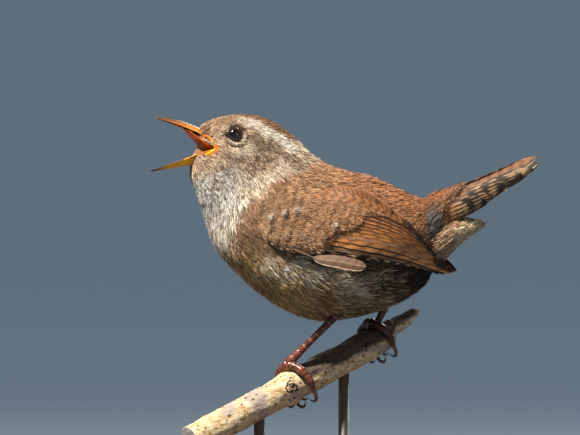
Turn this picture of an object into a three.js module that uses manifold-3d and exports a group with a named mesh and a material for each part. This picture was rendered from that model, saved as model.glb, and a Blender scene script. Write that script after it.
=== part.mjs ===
// A singing wren on a cut branch, life size, held by a plain display stand.
// Millimetres, +Z up. The bird looks along -X, its left side faces -Y.
// The origin is the middle of the underside of the stand's base.
import * as THREE from "three";
import { mergeVertices } from "three/addons/utils/BufferGeometryUtils.js";
import Module from "manifold-3d";

const wasm = await Module();
wasm.setup();

// Driving sizes. Heights in the tables below are above AXIS_HEIGHT.
const AXIS_HEIGHT = 60; // height of the bird's middle over the floor
const GAP = 0.3; // clearance between neighbouring pieces
const HEAD_YAW = THREE.MathUtils.degToRad(14); // head turned to the bird's left
const HEAD_ROLL = THREE.MathUtils.degToRad(6); // head tipped to the bird's right
const HEAD_PIVOT_X = -8; // the turn starts at this X
const BRANCH_RADIUS = 3.3;
const BASE = { length: 92, width: 62, thickness: 5, corner: 8 };
const ROD_RADIUS = 1.2;

// The body as ribs from the face to the vent: top point, bottom point, half width.
const BODY_RIBS = [
  { top: [-22.6, 20.0], bottom: [-24.4, 11.4], half: 1.9 },
  { top: [-21.2, 20.9], bottom: [-24.3, 10.8], half: 3.2 },
  { top: [-18.8, 21.9], bottom: [-23.9, 9.0], half: 4.9 },
  { top: [-15.6, 22.6], bottom: [-22.9, 6.6], half: 6.5 },
  { top: [-12.2, 22.7], bottom: [-22.0, 4.1], half: 7.4 },
  { top: [-8.4, 22.1], bottom: [-21.1, 1.7], half: 7.9 },
  { top: [-4.4, 20.1], bottom: [-20.4, -1.0], half: 8.7 },
  { top: [-0.7, 17.2], bottom: [-19.5, -4.1], half: 10.2 },
  { top: [2.9, 13.7], bottom: [-17.6, -7.9], half: 12.2 },
  { top: [7.1, 11.2], bottom: [-13.8, -12.1], half: 13.9 },
  { top: [11.6, 9.9], bottom: [-8.4, -16.8], half: 14.9 },
  { top: [16.7, 8.6], bottom: [-2.2, -20.6], half: 15.2 },
  { top: [21.1, 6.6], bottom: [5.6, -22.6], half: 14.6 },
  { top: [24.7, 4.8], bottom: [14.4, -21.2], half: 12.8 },
  { top: [26.9, 4.0], bottom: [22.2, -18.4], half: 10.2 },
  { top: [28.4, 3.2], bottom: [27.6, -14.6], half: 7.2 },
  { top: [29.6, 1.0], bottom: [30.2, -9.4], half: 3.6 },
];
const NECK_AT = 5.3; // rib numbers where the body is parted
const SHOULDER_AT = 8.2;
const HEAD_TURN_ENDS = 8.5; // the turn of the head fades out at this rib

// The folded left wing as ribs from the shoulder to the tip: upper and lower edge.
const WING_RIBS = [
  { top: [-8.9, 3.2], bottom: [-9.9, -2.2] },
  { top: [-5.6, 5.6], bottom: [-7.2, -5.2] },
  { top: [0.6, 6.6], bottom: [-2.4, -7.0] },
  { top: [7.6, 6.4], bottom: [4.4, -7.8] },
  { top: [13.8, 5.2], bottom: [11.6, -8.9] },
  { top: [19.0, 2.4], bottom: [18.2, -9.9] },
  { top: [23.4, -1.6], bottom: [24.2, -11.1] },
  { top: [27.2, -7.0], bottom: [29.2, -12.5] },
  { top: [32.2, -13.1], bottom: [32.6, -13.5] },
];
const WING_THICKNESS = 1.7;
const WING_STANDS_OUT = 1.1; // how far it lies outside the body
const COVERTS_END = 3.2; // wing rib where the coverts stop
const PRIMARIES_START = 0.6; // share of the wing's depth above the primaries
const FAR_WING_REACH = 1.5; // the right wing's tip reaches this much further back

// The cocked tail: a centre blade and two side blades, each a row of sections
// with the upper edge, the lower edge and how far both lie from the middle.
const TAIL_CENTRE = [
  { top: [27.4, 5.0], bottom: [29.0, 1.6], out: 2.6 },
  { top: [33.5, 7.4], bottom: [34.6, 4.8], out: 3.0 },
  { top: [40.5, 10.3], bottom: [41.4, 8.2], out: 3.2 },
  { top: [47.0, 12.7], bottom: [47.6, 11.0], out: 3.0 },
  { top: [52.4, 13.6], bottom: [52.7, 12.4], out: 1.9 },
];
const TAIL_SIDE = [
  { top: [30.0, 1.9], bottom: [33.4, -2.4], inner: 2.0, outer: 4.2 },
  { top: [35.0, 4.3], bottom: [37.8, 0.6], inner: 2.3, outer: 4.6 },
  { top: [41.6, 7.6], bottom: [42.9, 5.2], inner: 2.4, outer: 4.4 },
  { top: [47.8, 10.4], bottom: [48.6, 8.6], inner: 2.1, outer: 3.4 },
  { top: [52.2, 11.9], bottom: [52.9, 11.4], inner: 1.3, outer: 1.9 },
];
const TAIL_BLADE = 0.8; // thickness of the side blades

// Loose feathers round the root of the tail, and those under it.
const TAIL_ROOT = [
  { top: [24.0, 4.4], bottom: [29.0, -9.0], half: 7.0 },
  { top: [27.0, 4.0], bottom: [30.8, -7.2], half: 6.2 },
  { top: [30.2, 5.4], bottom: [32.6, -3.4], half: 4.6 },
  { top: [33.0, 6.5], bottom: [34.4, 1.2], half: 3.2 },
  { top: [35.4, 7.4], bottom: [36.0, 5.2], half: 1.4 },
];
const UNDER_TAIL = [
  { top: [28.6, -2.0], bottom: [27.6, -11.0], half: 6.6 },
  { top: [31.6, -0.6], bottom: [31.4, -9.3], half: 6.0 },
  { top: [35.4, 0.1], bottom: [35.2, -5.6], half: 4.2 },
  { top: [38.6, -0.4], bottom: [38.4, -3.3], half: 2.2 },
  { top: [40.4, -1.0], bottom: [40.5, -1.8], half: 0.7 },
];

// Bill: sections from inside the face to the tip. ridge is the outer middle line,
// edge is the cutting edge, half the half width there.
const BILL_UPPER = [
  { x: -20.6, ridge: 19.0, edge: 16.6, half: 2.75 },
  { x: -22.6, ridge: 20.0, edge: 18.3, half: 2.35 },
  { x: -24.6, ridge: 20.8, edge: 19.3, half: 1.85 },
  { x: -27.0, ridge: 21.6, edge: 20.4, half: 1.35 },
  { x: -29.4, ridge: 22.05, edge: 21.2, half: 0.9 },
  { x: -31.9, ridge: 22.35, edge: 22.0, half: 0.3 },
];
const BILL_LOWER = [
  { x: -20.6, ridge: 11.6, edge: 14.0, half: 2.7 },
  { x: -22.8, ridge: 11.5, edge: 13.35, half: 2.3 },
  { x: -25.2, ridge: 11.45, edge: 12.9, half: 1.8 },
  { x: -28.0, ridge: 11.0, edge: 12.15, half: 1.25 },
  { x: -30.6, ridge: 10.55, edge: 11.2, half: 0.75 },
  { x: -33.1, ridge: 10.15, edge: 10.45, half: 0.25 },
];
const BILL_WALL = 0.6;
const MOUTH_CORNER = [-19.9, 14.7]; // where the two halves of the mouth meet
const MOUTH_UPPER = [-25.6, 19.9]; // a point on the roof, ahead of the face
const MOUTH_LOWER = [-26.4, 12.4]; // a point on the floor
const MOUTH_LINING = 0.7;

const EYE = { x: -15.8, z: 17.7, out: 5.15, radius: 1.85 };

// Legs: heel and the middle of the foot, both as [x, y, z above AXIS_HEIGHT].
const LEGS = {
  left: { knee: [11.5, -6.6, -14.2], heel: [9.4, -5.6, -20.4], foot: [-2.6, -4.9, -32.3] },
  right: { knee: [19.6, 6.2, -13.2], heel: [18.9, 6.2, -20.0], foot: [16.2, 6.3, -25.4] },
};
const TARSUS_RADIUS = 0.8;
const TOE_RADIUS = 0.85;
// Toes: turn round the branch in degrees, positive to the camera's side (-Y), the shift along
// the branch at the tip, and the claw's further turn.
const TOES = [
  { name: "hind", from: 8, to: 112, shift: 1.3, claw: 62 },
  { name: "inner", from: -6, to: -112, shift: -1.9, claw: -58 },
  { name: "middle", from: -10, to: -138, shift: -0.1, claw: -60 },
  { name: "outer", from: -6, to: -114, shift: 1.9, claw: -56 },
];
const CLAW_LIFT = 1.5; // how far a claw bows away from the bark

// The branch's axis, from the low cut end to the broken upper end.
const BRANCH_MIDDLE = new THREE.Vector3(6.4, 0.5, -33.2);
const BRANCH_DIRECTION = new THREE.Vector3(1, 0.56, 0.53).normalize();
const BRANCH_SECTIONS = [
  { at: -38.6, radius: 3.35 },
  { at: -26.0, radius: 3.3 },
  { at: -15.0, radius: 3.25 },
  { at: -11.5, radius: 3.5 },
  { at: -6.0, radius: 3.3 },
  { at: 10.0, radius: 3.2 },
  { at: 16.5, radius: 2.9 },
  { at: 18.5, radius: 1.75 },
  { at: 24.6, radius: 1.45 },
];
const BRANCH_TOP_RISE = 1.15; // the broken end keeps the upper side of the branch
const ROD_PLACES = [-19.5, 4.2]; // along the branch

// Shape helpers

// Catmull-Rom interpolation of one field of a table at a fractional index.
function between(table, read, at) {
  const last = table.length - 1;
  const i = Math.min(Math.max(Math.floor(at), 0), last - 1);
  const t = at - i;
  const p = [i - 1, i, i + 1, i + 2].map((k) => read(table[Math.min(Math.max(k, 0), last)]));
  return (
    0.5 *
    (2 * p[1] +
      (p[2] - p[0]) * t +
      (2 * p[0] - 5 * p[1] + 4 * p[2] - p[3]) * t * t +
      (3 * p[1] - p[0] - 3 * p[2] + p[3]) * t * t * t)
  );
}

// A rib of a table at a fractional index.
function ribAt(table, at) {
  const read = (key, k) => between(table, (rib) => rib[key][k], at);
  return {
    top: [read("top", 0), read("top", 1)],
    bottom: [read("bottom", 0), read("bottom", 1)],
    half: table[0].half === undefined ? 0 : between(table, (rib) => rib.half, at),
  };
}

// A closed geometry from rings of equally many points, with a fan at each end.
function loft(rings) {
  const count = rings[0].length;
  const points = rings.flat();
  const faces = [];
  for (let r = 0; r + 1 < rings.length; r++) {
    for (let k = 0; k < count; k++) {
      const a = r * count + k;
      const b = r * count + ((k + 1) % count);
      faces.push(a, b, b + count, a, b + count, a + count);
    }
  }
  for (const [ring, start, turned] of [
    [rings[0], 0, true],
    [rings.at(-1), (rings.length - 1) * count, false],
  ]) {
    const middle = new THREE.Vector3();
    ring.forEach((p) => middle.addScaledVector(p, 1 / count));
    const m = points.push(middle) - 1;
    for (let k = 0; k < count; k++) {
      const a = start + k;
      const b = start + ((k + 1) % count);
      faces.push(...(turned ? [b, a, m] : [a, b, m]));
    }
  }
  const geometry = new THREE.BufferGeometry().setFromPoints(points);
  geometry.setIndex(faces);
  return geometry;
}

function toSolid(geometry) {
  const plain = geometry.index ? geometry.toNonIndexed() : geometry.clone();
  plain.deleteAttribute("normal");
  plain.deleteAttribute("uv");
  const merged = mergeVertices(plain, 1e-4);
  const solid = new wasm.Manifold(
    new wasm.Mesh({
      numProp: 3,
      vertProperties: merged.attributes.position.array,
      triVerts: new Uint32Array(merged.index.array),
    }),
  );
  if (solid.volume() > 0) return solid;
  const turned = new Uint32Array(merged.index.array).reverse();
  return new wasm.Manifold(
    new wasm.Mesh({
      numProp: 3,
      vertProperties: merged.attributes.position.array,
      triVerts: turned,
    }),
  );
}

function toGeometry(solid) {
  const mesh = solid.getMesh();
  const geometry = new THREE.BufferGeometry();
  geometry.setAttribute("position", new THREE.BufferAttribute(new Float32Array(mesh.vertProperties), 3));
  geometry.setIndex(new THREE.BufferAttribute(mesh.triVerts, 1));
  return geometry;
}

// The largest of a solid's separate bodies, for cuts that leave crumbs.
function largest(solid) {
  return solid.decompose().reduce((a, b) => (b.volume() > a.volume() ? b : a));
}

const raise = (x, y, z) => new THREE.Vector3(x, y, z + AXIS_HEIGHT);

// Turns a point of the head: the share falls from 1 at the face to 0 at the shoulders.
function turnHead(x, y, z, share) {
  const yaw = HEAD_YAW * share;
  const roll = HEAD_ROLL * share;
  return raise(
    x - y * Math.sin(yaw),
    (x - HEAD_PIVOT_X) * Math.tan(yaw) * (x < HEAD_PIVOT_X ? 1 : 0) + y * Math.cos(yaw),
    z - y * Math.sin(roll),
  );
}

function headShare(rib) {
  return 1 - THREE.MathUtils.smoothstep(rib, 4, HEAD_TURN_ENDS);
}

// One ring of the body, grown outwards by grow.
function bodyRing(at, sides, grow = 0) {
  const rib = ribAt(BODY_RIBS, at);
  const middle = [0, 1].map((k) => (rib.top[k] + rib.bottom[k]) / 2);
  const reach = [0, 1].map((k) => (rib.top[k] - rib.bottom[k]) / 2);
  const stretch = 1 + grow / Math.hypot(...reach);
  return Array.from({ length: sides }, (_, k) => {
    const angle = (2 * Math.PI * k) / sides;
    return turnHead(
      middle[0] + reach[0] * stretch * Math.cos(angle),
      (rib.half + grow) * Math.sin(angle),
      middle[1] + reach[1] * stretch * Math.cos(angle),
      headShare(at),
    );
  });
}

function bodyPart(from, to, steps, sides, grow = 0) {
  const rings = Array.from({ length: steps + 1 }, (_, k) =>
    bodyRing(from + ((to - from) * k) / steps, sides, grow),
  );
  return toSolid(loft(rings));
}

// Half width of the body where the upright line through (x, z) meets it, or 0 outside.
function bodyHalfWidth(x, z) {
  let was = null;
  for (let at = 4; at <= BODY_RIBS.length - 1; at += 0.05) {
    const rib = ribAt(BODY_RIBS, at);
    const line = [rib.bottom[0] - rib.top[0], rib.bottom[1] - rib.top[1]];
    const side = line[0] * (z - rib.top[1]) - line[1] * (x - rib.top[0]);
    if (was !== null && Math.sign(side) !== Math.sign(was)) {
      const along =
        ((x - rib.top[0]) * line[0] + (z - rib.top[1]) * line[1]) / (line[0] ** 2 + line[1] ** 2);
      const c = 1 - 2 * along;
      return Math.abs(c) < 1 ? rib.half * Math.sqrt(1 - c * c) : 0;
    }
    was = side;
  }
  return 0;
}

// A point of the left wing's outer face: along from the shoulder to the tip, down the depth.
function wingPoint(along, down, reach = 0) {
  const rib = ribAt(WING_RIBS, along * (WING_RIBS.length - 1));
  const x = rib.top[0] + (rib.bottom[0] - rib.top[0]) * down + reach * along ** 3;
  const z = rib.top[1] + (rib.bottom[1] - rib.top[1]) * down;
  const back = THREE.MathUtils.smoothstep(x, 8, 33);
  const least = THREE.MathUtils.lerp(11.5 * THREE.MathUtils.smoothstep(x, -6, 14), 2.4, back);
  const body = bodyHalfWidth(x, z) ** 4;
  return { x, z, y: (body + least ** 4) ** 0.25 + WING_STANDS_OUT };
}

// A piece of a wing between two shares of its length and of its depth.
function wingPart(side, [from, to], [upper, lower], steps, rows, grow = 0) {
  const reach = side > 0 ? FAR_WING_REACH : 0;
  const rings = [];
  for (let i = 0; i <= steps; i++) {
    const along = from + ((to - from) * i) / steps;
    const outer = [];
    const inner = [];
    for (let j = 0; j <= rows; j++) {
      const down = upper + ((lower - upper) * j) / rows;
      const p = wingPoint(along, down, reach);
      const edge = 1 - 0.72 * Math.abs(2 * down - 1) ** 6;
      const thick = WING_THICKNESS * edge * (1 - 0.5 * along ** 4);
      outer.push(raise(p.x, side * (p.y + grow - WING_STANDS_OUT * (1 - edge)), p.z));
      inner.push(raise(p.x, side * (p.y - WING_STANDS_OUT * (1 - edge) - thick - grow), p.z));
    }
    const ring = [...outer, ...inner.reverse()];
    rings.push(grow ? widened(ring, grow) : ring);
  }
  return toSolid(loft(rings));
}

// A ring moved away from its own middle by grow, in X and Z.
function widened(ring, grow) {
  const middle = new THREE.Vector3();
  ring.forEach((p) => middle.addScaledVector(p, 1 / ring.length));
  return ring.map((p) => {
    const away = new THREE.Vector3(p.x - middle.x, 0, p.z - middle.z);
    return p.clone().addScaledVector(away.normalize(), grow);
  });
}

// A ring of a thin blade grown outwards on all sides.
function swollen(ring, grow) {
  const count = ring.length / 2;
  return ring.map((p, k) => {
    const across = p.clone().sub(ring[ring.length - 1 - k]).normalize();
    const near = ring[k % count === 0 ? k + 1 : k - 1];
    const end = k % count === 0 || k % count === count - 1;
    const away = end ? p.clone().sub(near).normalize() : new THREE.Vector3();
    return p.clone().addScaledVector(across, grow).addScaledVector(away, grow);
  });
}

// A round-sectioned body from a table of ribs, like the body but without the turn.
function plumeLoft(table, steps, sides, grow = 0) {
  const rings = Array.from({ length: steps + 1 }, (_, i) => {
    const rib = ribAt(table, (i / steps) * (table.length - 1));
    return Array.from({ length: sides }, (_, k) => {
      const angle = (2 * Math.PI * k) / sides;
      const length = Math.hypot(rib.top[0] - rib.bottom[0], rib.top[1] - rib.bottom[1]);
      const c = 0.5 + Math.cos(angle) * (0.5 + grow / length);
      return raise(
        rib.bottom[0] + (rib.top[0] - rib.bottom[0]) * c,
        (rib.half + grow) * Math.sin(angle),
        rib.bottom[1] + (rib.top[1] - rib.bottom[1]) * c,
      );
    });
  });
  return toSolid(loft(rings));
}

// The tail's centre blade is a flat arch over the side blades.
function tailCentre(steps, grow = 0) {
  const rings = Array.from({ length: steps + 1 }, (_, i) => {
    const at = (i / steps) * (TAIL_CENTRE.length - 1);
    const rib = ribAt(TAIL_CENTRE, at);
    const out = between(TAIL_CENTRE, (r) => r.out, at);
    const arch = [-1, -0.5, 0, 0.5, 1];
    const place = (y, down) =>
      raise(
        rib.top[0] + (rib.bottom[0] - rib.top[0]) * down,
        out * y,
        rib.top[1] + (rib.bottom[1] - rib.top[1]) * down,
      );
    const ring = [
      ...arch.map((y) => place(y, 0.45 * y * y)),
      ...arch.toReversed().map((y) => place(y * 0.98, 0.45 * y * y + 0.5)),
    ];
    return swollen(ring, grow);
  });
  return toSolid(loft(rings));
}

function tailSide(side, steps, grow = 0) {
  const rings = Array.from({ length: steps + 1 }, (_, i) => {
    const at = (i / steps) * (TAIL_SIDE.length - 1);
    const rib = ribAt(TAIL_SIDE, at);
    const inner = between(TAIL_SIDE, (r) => r.inner, at);
    const outer = between(TAIL_SIDE, (r) => r.outer, at);
    const place = (share, out) =>
      raise(
        rib.top[0] + (rib.bottom[0] - rib.top[0]) * share,
        side * (inner + (outer - inner) * Math.sqrt(share) + out),
        rib.top[1] + (rib.bottom[1] - rib.top[1]) * share,
      );
    const shares = [0, 0.35, 0.7, 1];
    const ring = [
      ...shares.map((s) => place(s, 0)),
      ...shares.toReversed().map((s) => place(s, -TAIL_BLADE)),
    ];
    return swollen(ring, grow);
  });
  return toSolid(loft(rings));
}

// Half of the bill: a bowed shell, hollow towards the mouth.
function billHalf(table, steps) {
  const rings = Array.from({ length: steps + 1 }, (_, i) => {
    const at = (i / steps) * (table.length - 1);
    const [x, ridge, edge, half] = ["x", "ridge", "edge", "half"].map((key) =>
      between(table, (s) => s[key], at),
    );
    const depth = ridge - edge;
    const wall = Math.min(BILL_WALL, 0.8 * Math.abs(depth));
    const arch = [-1, -0.8, -0.5, 0, 0.5, 0.8, 1];
    const outer = arch.map((y) => [y * half, edge + depth * (1 - Math.abs(y) ** 2.2)]);
    const inner = arch
      .toReversed()
      .slice(1, -1)
      .map((y) => [y * (half - 0.3 * wall), edge + (depth - Math.sign(depth) * wall) * (1 - y * y)]);
    return [...outer, ...inner].map(([y, z]) => turnHead(x, y, z, 1));
  });
  return toSolid(loft(rings));
}

// The mouth's opening as a wedge whose corner lies back by setBack.
function mouthWedge(setBack, spread) {
  const corner = [MOUTH_CORNER[0] + setBack, MOUTH_CORNER[1]];
  const outline = [
    corner,
    [MOUTH_UPPER[0], MOUTH_UPPER[1] + spread],
    [MOUTH_UPPER[0] - 4, MOUTH_UPPER[1] + spread],
    [MOUTH_LOWER[0] - 4, MOUTH_LOWER[1] - spread],
    [MOUTH_LOWER[0], MOUTH_LOWER[1] - spread],
  ];
  return toSolid(loft([-7, 7].map((y) => outline.map(([x, z]) => turnHead(x, y, z, 1)))));
}

// A tapering tube through points, with a radius at each.
function tube(points, radii, sides = 8, steps = 12) {
  const curve = new THREE.CatmullRomCurve3(points);
  const rings = [];
  let side = new THREE.Vector3(0, 1, 0);
  for (let i = 0; i <= steps; i++) {
    const t = i / steps;
    const tangent = curve.getTangent(t);
    side = side.clone().addScaledVector(tangent, -side.dot(tangent)).normalize();
    const other = new THREE.Vector3().crossVectors(tangent, side);
    const radius = between(radii.map((r) => ({ r })), (s) => s.r, t * (radii.length - 1));
    const centre = curve.getPoint(t);
    rings.push(
      Array.from({ length: sides }, (_, k) => {
        const angle = (2 * Math.PI * k) / sides;
        return centre
          .clone()
          .addScaledVector(side, radius * Math.cos(angle))
          .addScaledVector(other, radius * Math.sin(angle));
      }),
    );
  }
  return toSolid(loft(rings));
}

// Branch frame: up and towards the camera's side, both square to the axis.
const branchUp = new THREE.Vector3(0, 0, 1)
  .addScaledVector(BRANCH_DIRECTION, -BRANCH_DIRECTION.z)
  .normalize();
const branchNear = new THREE.Vector3().crossVectors(BRANCH_DIRECTION, branchUp);
if (branchNear.y > 0) branchNear.negate();

// A point by distance along the branch, distance from its axis and turn from the top.
function roundBranch(along, radius, degrees) {
  const angle = THREE.MathUtils.degToRad(degrees);
  return BRANCH_MIDDLE.clone()
    .addScaledVector(BRANCH_DIRECTION, along)
    .addScaledVector(branchUp, radius * Math.cos(angle))
    .addScaledVector(branchNear, radius * Math.sin(angle))
    .add(new THREE.Vector3(0, 0, AXIS_HEIGHT));
}

function branch(sides, grow = 0) {
  const rings = BRANCH_SECTIONS.map(({ at, radius }) => {
    const rise = radius < 2 ? BRANCH_TOP_RISE : 0;
    const end = at > 20 ? 1.6 : 0; // the broken end is cut slanting
    return Array.from({ length: sides }, (_, k) => {
      const degrees = (360 * k) / sides;
      const slant = end * Math.cos(THREE.MathUtils.degToRad(degrees));
      const ripple = 1 + 0.03 * Math.sin(3 * k + at);
      return roundBranch(at + slant, (radius + grow) * ripple, degrees).addScaledVector(branchUp, rise);
    });
  });
  return toSolid(loft(rings));
}

function branchRadius(along) {
  const last = BRANCH_SECTIONS.length - 1;
  const i = Math.max(
    0,
    BRANCH_SECTIONS.findLastIndex((s, k) => s.at <= along && k < last),
  );
  const [a, b] = [BRANCH_SECTIONS[i], BRANCH_SECTIONS[i + 1]];
  return THREE.MathUtils.lerp(a.radius, b.radius, (along - a.at) / (b.at - a.at));
}

// A toe's middle line and, past its end, its claw's.
function toePoints(toe, foot, along, clawed) {
  const points = [];
  const count = clawed ? 6 : 7;
  for (let i = 0; i <= count; i++) {
    const t = i / count;
    const turn = clawed ? toe.to + toe.claw * t : toe.from + (toe.to - toe.from) * t;
    const place = along + toe.shift * (clawed ? 1 : Math.sin((t * Math.PI) / 2));
    const rise = clawed ? CLAW_LIFT * Math.sin(Math.PI * Math.min(t * 0.9 + 0.12, 1)) : 0;
    const clear = branchRadius(place) * 1.035 + GAP + (clawed ? 0.35 + rise : TOE_RADIUS);
    points.push(roundBranch(place, clear, turn));
  }
  return clawed ? points : [foot.clone(), ...points];
}

function alongBranch(point) {
  return point
    .clone()
    .sub(new THREE.Vector3(0, 0, AXIS_HEIGHT))
    .sub(BRANCH_MIDDLE)
    .dot(BRANCH_DIRECTION);
}

// Build

const model = new THREE.Group();

function material(color, roughness) {
  return new THREE.MeshStandardMaterial({ color, roughness, metalness: 0 });
}

const finishes = {
  back: material(0x8a5f3f, 0.8),
  face: material(0xa58a70, 0.85),
  breast: material(0xb09a80, 0.85),
  wing: material(0x7d4a28, 0.7),
  tail: material(0x86532e, 0.7),
  bill: material(0xb5651f, 0.4),
  mouth: material(0xe08a1a, 0.5),
  eye: material(0x0b0908, 0.08),
  leg: material(0x8a4a35, 0.5),
  claw: material(0x6b4a38, 0.45),
  bark: material(0xb29a6a, 0.9),
  stand: material(0x2e2a27, 0.6),
};

function add(name, solid, finish) {
  const mesh = new THREE.Mesh(toGeometry(solid), finishes[finish]);
  mesh.name = name;
  model.add(mesh);
  return solid;
}

function addBill() {
  const face = bodyPart(0, NECK_AT, 12, 20, GAP);
  const lining = mouthWedge(MOUTH_LINING, MOUTH_LINING * 0.8)
    .subtract(mouthWedge(0, 0))
    .intersect(bodyPart(0, NECK_AT, 12, 20));
  for (const [name, table] of [
    ["bill_upper", BILL_UPPER],
    ["bill_lower", BILL_LOWER],
  ]) {
    add(name, largest(billHalf(table, 8).subtract(face)), "bill");
  }
  return add("mouth_lining", largest(lining), "mouth");
}

function eyeSolid(side, radius) {
  const ball = new THREE.SphereGeometry(radius, 14, 8);
  const middle = turnHead(EYE.x, side * EYE.out, EYE.z, 1);
  return toSolid(ball.translate(middle.x, middle.y, middle.z));
}

function addHead() {
  const bite = mouthWedge(MOUTH_LINING + GAP, MOUTH_LINING * 0.8 + GAP);
  let head = bodyPart(0, NECK_AT, 12, 20).subtract(bite);
  for (const [side, name] of [
    [-1, "eye_left"],
    [1, "eye_right"],
  ]) {
    head = head.subtract(eyeSolid(side, EYE.radius + GAP));
    add(name, eyeSolid(side, EYE.radius), "eye");
  }
  add("head", largest(head), "face");
}

// The wings, each in three pieces, and the space that they take from the body.
function addWings() {
  const taken = [];
  const last = WING_RIBS.length - 1;
  for (const [side, name] of [
    [-1, "left"],
    [1, "right"],
  ]) {
    const parts = {
      coverts: [[0, COVERTS_END / last], [0, 1], 7, 8],
      secondaries: [[COVERTS_END / last + 0.012, 1], [0, PRIMARIES_START], 12, 6],
      primaries: [[COVERTS_END / last + 0.012, 1], [PRIMARIES_START + 0.045, 1], 12, 3],
    };
    for (const [part, [span, depth, steps, rows]] of Object.entries(parts)) {
      add(`wing_${name}_${part}`, wingPart(side, span, depth, steps, rows), "wing");
      taken.push(wingPart(side, span, depth, steps, rows, GAP));
    }
    taken.push(wingPart(side, [0, 1], [0, 1], 12, 5, 1.5 * GAP));
  }
  return taken;
}

function thigh(leg, grow = 0) {
  const [knee, heel] = [raise(...leg.knee), raise(...leg.heel)];
  return tube([knee, heel], [2.6 + grow, 2.2 + grow, 1.1 + grow], 10, 6);
}

function shin(leg, grow = 0) {
  const taper = [1.1, 1, 0.9, 1.0, 1.35].map((k) => k * TARSUS_RADIUS + grow);
  return tube([raise(...leg.heel), raise(...leg.foot)], taper, 8, 8);
}

function addLegs() {
  for (const [name, leg] of Object.entries(LEGS)) {
    const foot = raise(...leg.foot);
    const along = alongBranch(foot);
    let toes = null;
    for (const toe of TOES) {
      const path = toePoints(toe, foot, along, false);
      const solid = tube(path, [1.25, 1.1, 0.95, 0.86, 0.76].map((k) => k * TOE_RADIUS), 5, 8);
      toes = toes ? toes.add(solid) : solid;
      const claw = toePoints(toe, foot, along, true);
      claw[0].lerp(claw[1], 0.35);
      add(`claw_${name}_${toe.name}`, tube(claw, [0.5, 0.42, 0.32, 0.16], 5, 6), "claw");
    }
    const bark = branch(16, GAP);
    add(`tarsus_${name}`, largest(shin(leg).subtract(thigh(leg, GAP)).subtract(bark)), "leg");
    add(`foot_${name}`, largest(toes.subtract(shin(leg, GAP)).subtract(bark)), "leg");
    add(`thigh_${name}`, thigh(leg), "breast");
  }
}

function addTail(wings) {
  const cut = (solid, others) => largest(others.reduce((a, b) => a.subtract(b), solid));
  add("tail_centre", tailCentre(8), "tail");
  add("tail_left", tailSide(-1, 8), "tail");
  add("tail_right", tailSide(1, 8), "tail");
  const blades = [tailCentre(8, GAP), tailSide(-1, 8, GAP), tailSide(1, 8, GAP)];
  const under = plumeLoft(UNDER_TAIL, 6, 12);
  add("undertail_coverts", cut(under, [...blades, ...wings]), "breast");
  const underSpace = plumeLoft(UNDER_TAIL, 6, 12, GAP);
  const root = plumeLoft(TAIL_ROOT, 6, 12);
  add("tail_root_coverts", cut(root, [...blades, ...wings, underSpace]), "back");
  return [...blades, underSpace, plumeLoft(TAIL_ROOT, 6, 12, GAP)];
}

function addBody(taken) {
  const step = 0.06; // in ribs, about the usual gap
  const last = BODY_RIBS.length - 1;
  const cut = (solid) => largest(taken.reduce((a, b) => a.subtract(b), solid));
  add("neck", cut(bodyPart(NECK_AT + step, SHOULDER_AT - step, 5, 20)), "back");
  add("trunk", cut(bodyPart(SHOULDER_AT + step, last, 13, 20)), "breast");
}

function addPerch() {
  add("perch_branch", branch(16), "bark");
}

// The base is a plate with round corners.
function addStand() {
  const { length, width, thickness, corner } = BASE;
  const shape = new THREE.Shape();
  const [x, y] = [length / 2, width / 2];
  shape.moveTo(-x + corner, -y);
  shape.lineTo(x - corner, -y);
  shape.absarc(x - corner, -y + corner, corner, -Math.PI / 2, 0);
  shape.absarc(x - corner, y - corner, corner, 0, Math.PI / 2);
  shape.absarc(-x + corner, y - corner, corner, Math.PI / 2, Math.PI);
  shape.absarc(-x + corner, -y + corner, corner, Math.PI, 1.5 * Math.PI);
  const plate = new THREE.ExtrudeGeometry(shape, {
    depth: thickness,
    bevelEnabled: false,
    curveSegments: 6,
  });
  add("stand_base", toSolid(plate), "stand");
  const bark = branch(16, GAP);
  ROD_PLACES.forEach((place, i) => {
    const top = roundBranch(place, 0, 0);
    const low = thickness + GAP;
    const rod = new THREE.CylinderGeometry(ROD_RADIUS, ROD_RADIUS, top.z - low, 16);
    rod.rotateX(Math.PI / 2).translate(top.x, top.y, (top.z + low) / 2);
    add(`stand_rod_${i + 1}`, largest(toSolid(rod).subtract(bark)), "stand");
  });
}

addHead();
addBill();
const wings = addWings();
const tail = addTail(wings);
addLegs();
const thighs = Object.values(LEGS).flatMap((leg) => [thigh(leg, GAP), shin(leg, GAP)]);
addBody([...wings, ...tail, ...thighs]);
addPerch();
addStand();

export default model;
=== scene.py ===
"""A wren singing on a cut branch, life size, on a plain display stand.

Lengths are in millimetres until a mesh is made. X runs from bill to tail, Y from the bird's
left to its right and Z up. Heights in the tables are above AXIS_HEIGHT, the bird's middle.
"""

import math

import bpy
import numpy as np
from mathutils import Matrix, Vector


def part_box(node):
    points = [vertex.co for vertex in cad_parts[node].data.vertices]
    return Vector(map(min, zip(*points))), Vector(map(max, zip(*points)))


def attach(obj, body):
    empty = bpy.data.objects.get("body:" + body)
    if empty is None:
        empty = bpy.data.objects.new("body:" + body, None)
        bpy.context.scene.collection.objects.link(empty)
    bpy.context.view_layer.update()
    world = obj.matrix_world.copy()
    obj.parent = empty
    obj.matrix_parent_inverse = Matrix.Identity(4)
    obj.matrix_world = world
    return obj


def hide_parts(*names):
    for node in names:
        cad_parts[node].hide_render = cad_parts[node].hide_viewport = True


MM = 0.001
AXIS_HEIGHT = 60.0
HEAD_YAW = math.radians(14)
HEAD_ROLL = math.radians(6)
HEAD_PIVOT_X = -8.0
LEFT, RIGHT = -1, 1
SIDES = ((LEFT, "left"), (RIGHT, "right"))
STEP = 1e-3  # the small change of a parameter by which slopes are measured
TUFT_PATCH = 0.003  # one tuft's share of the OFBake map

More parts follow.
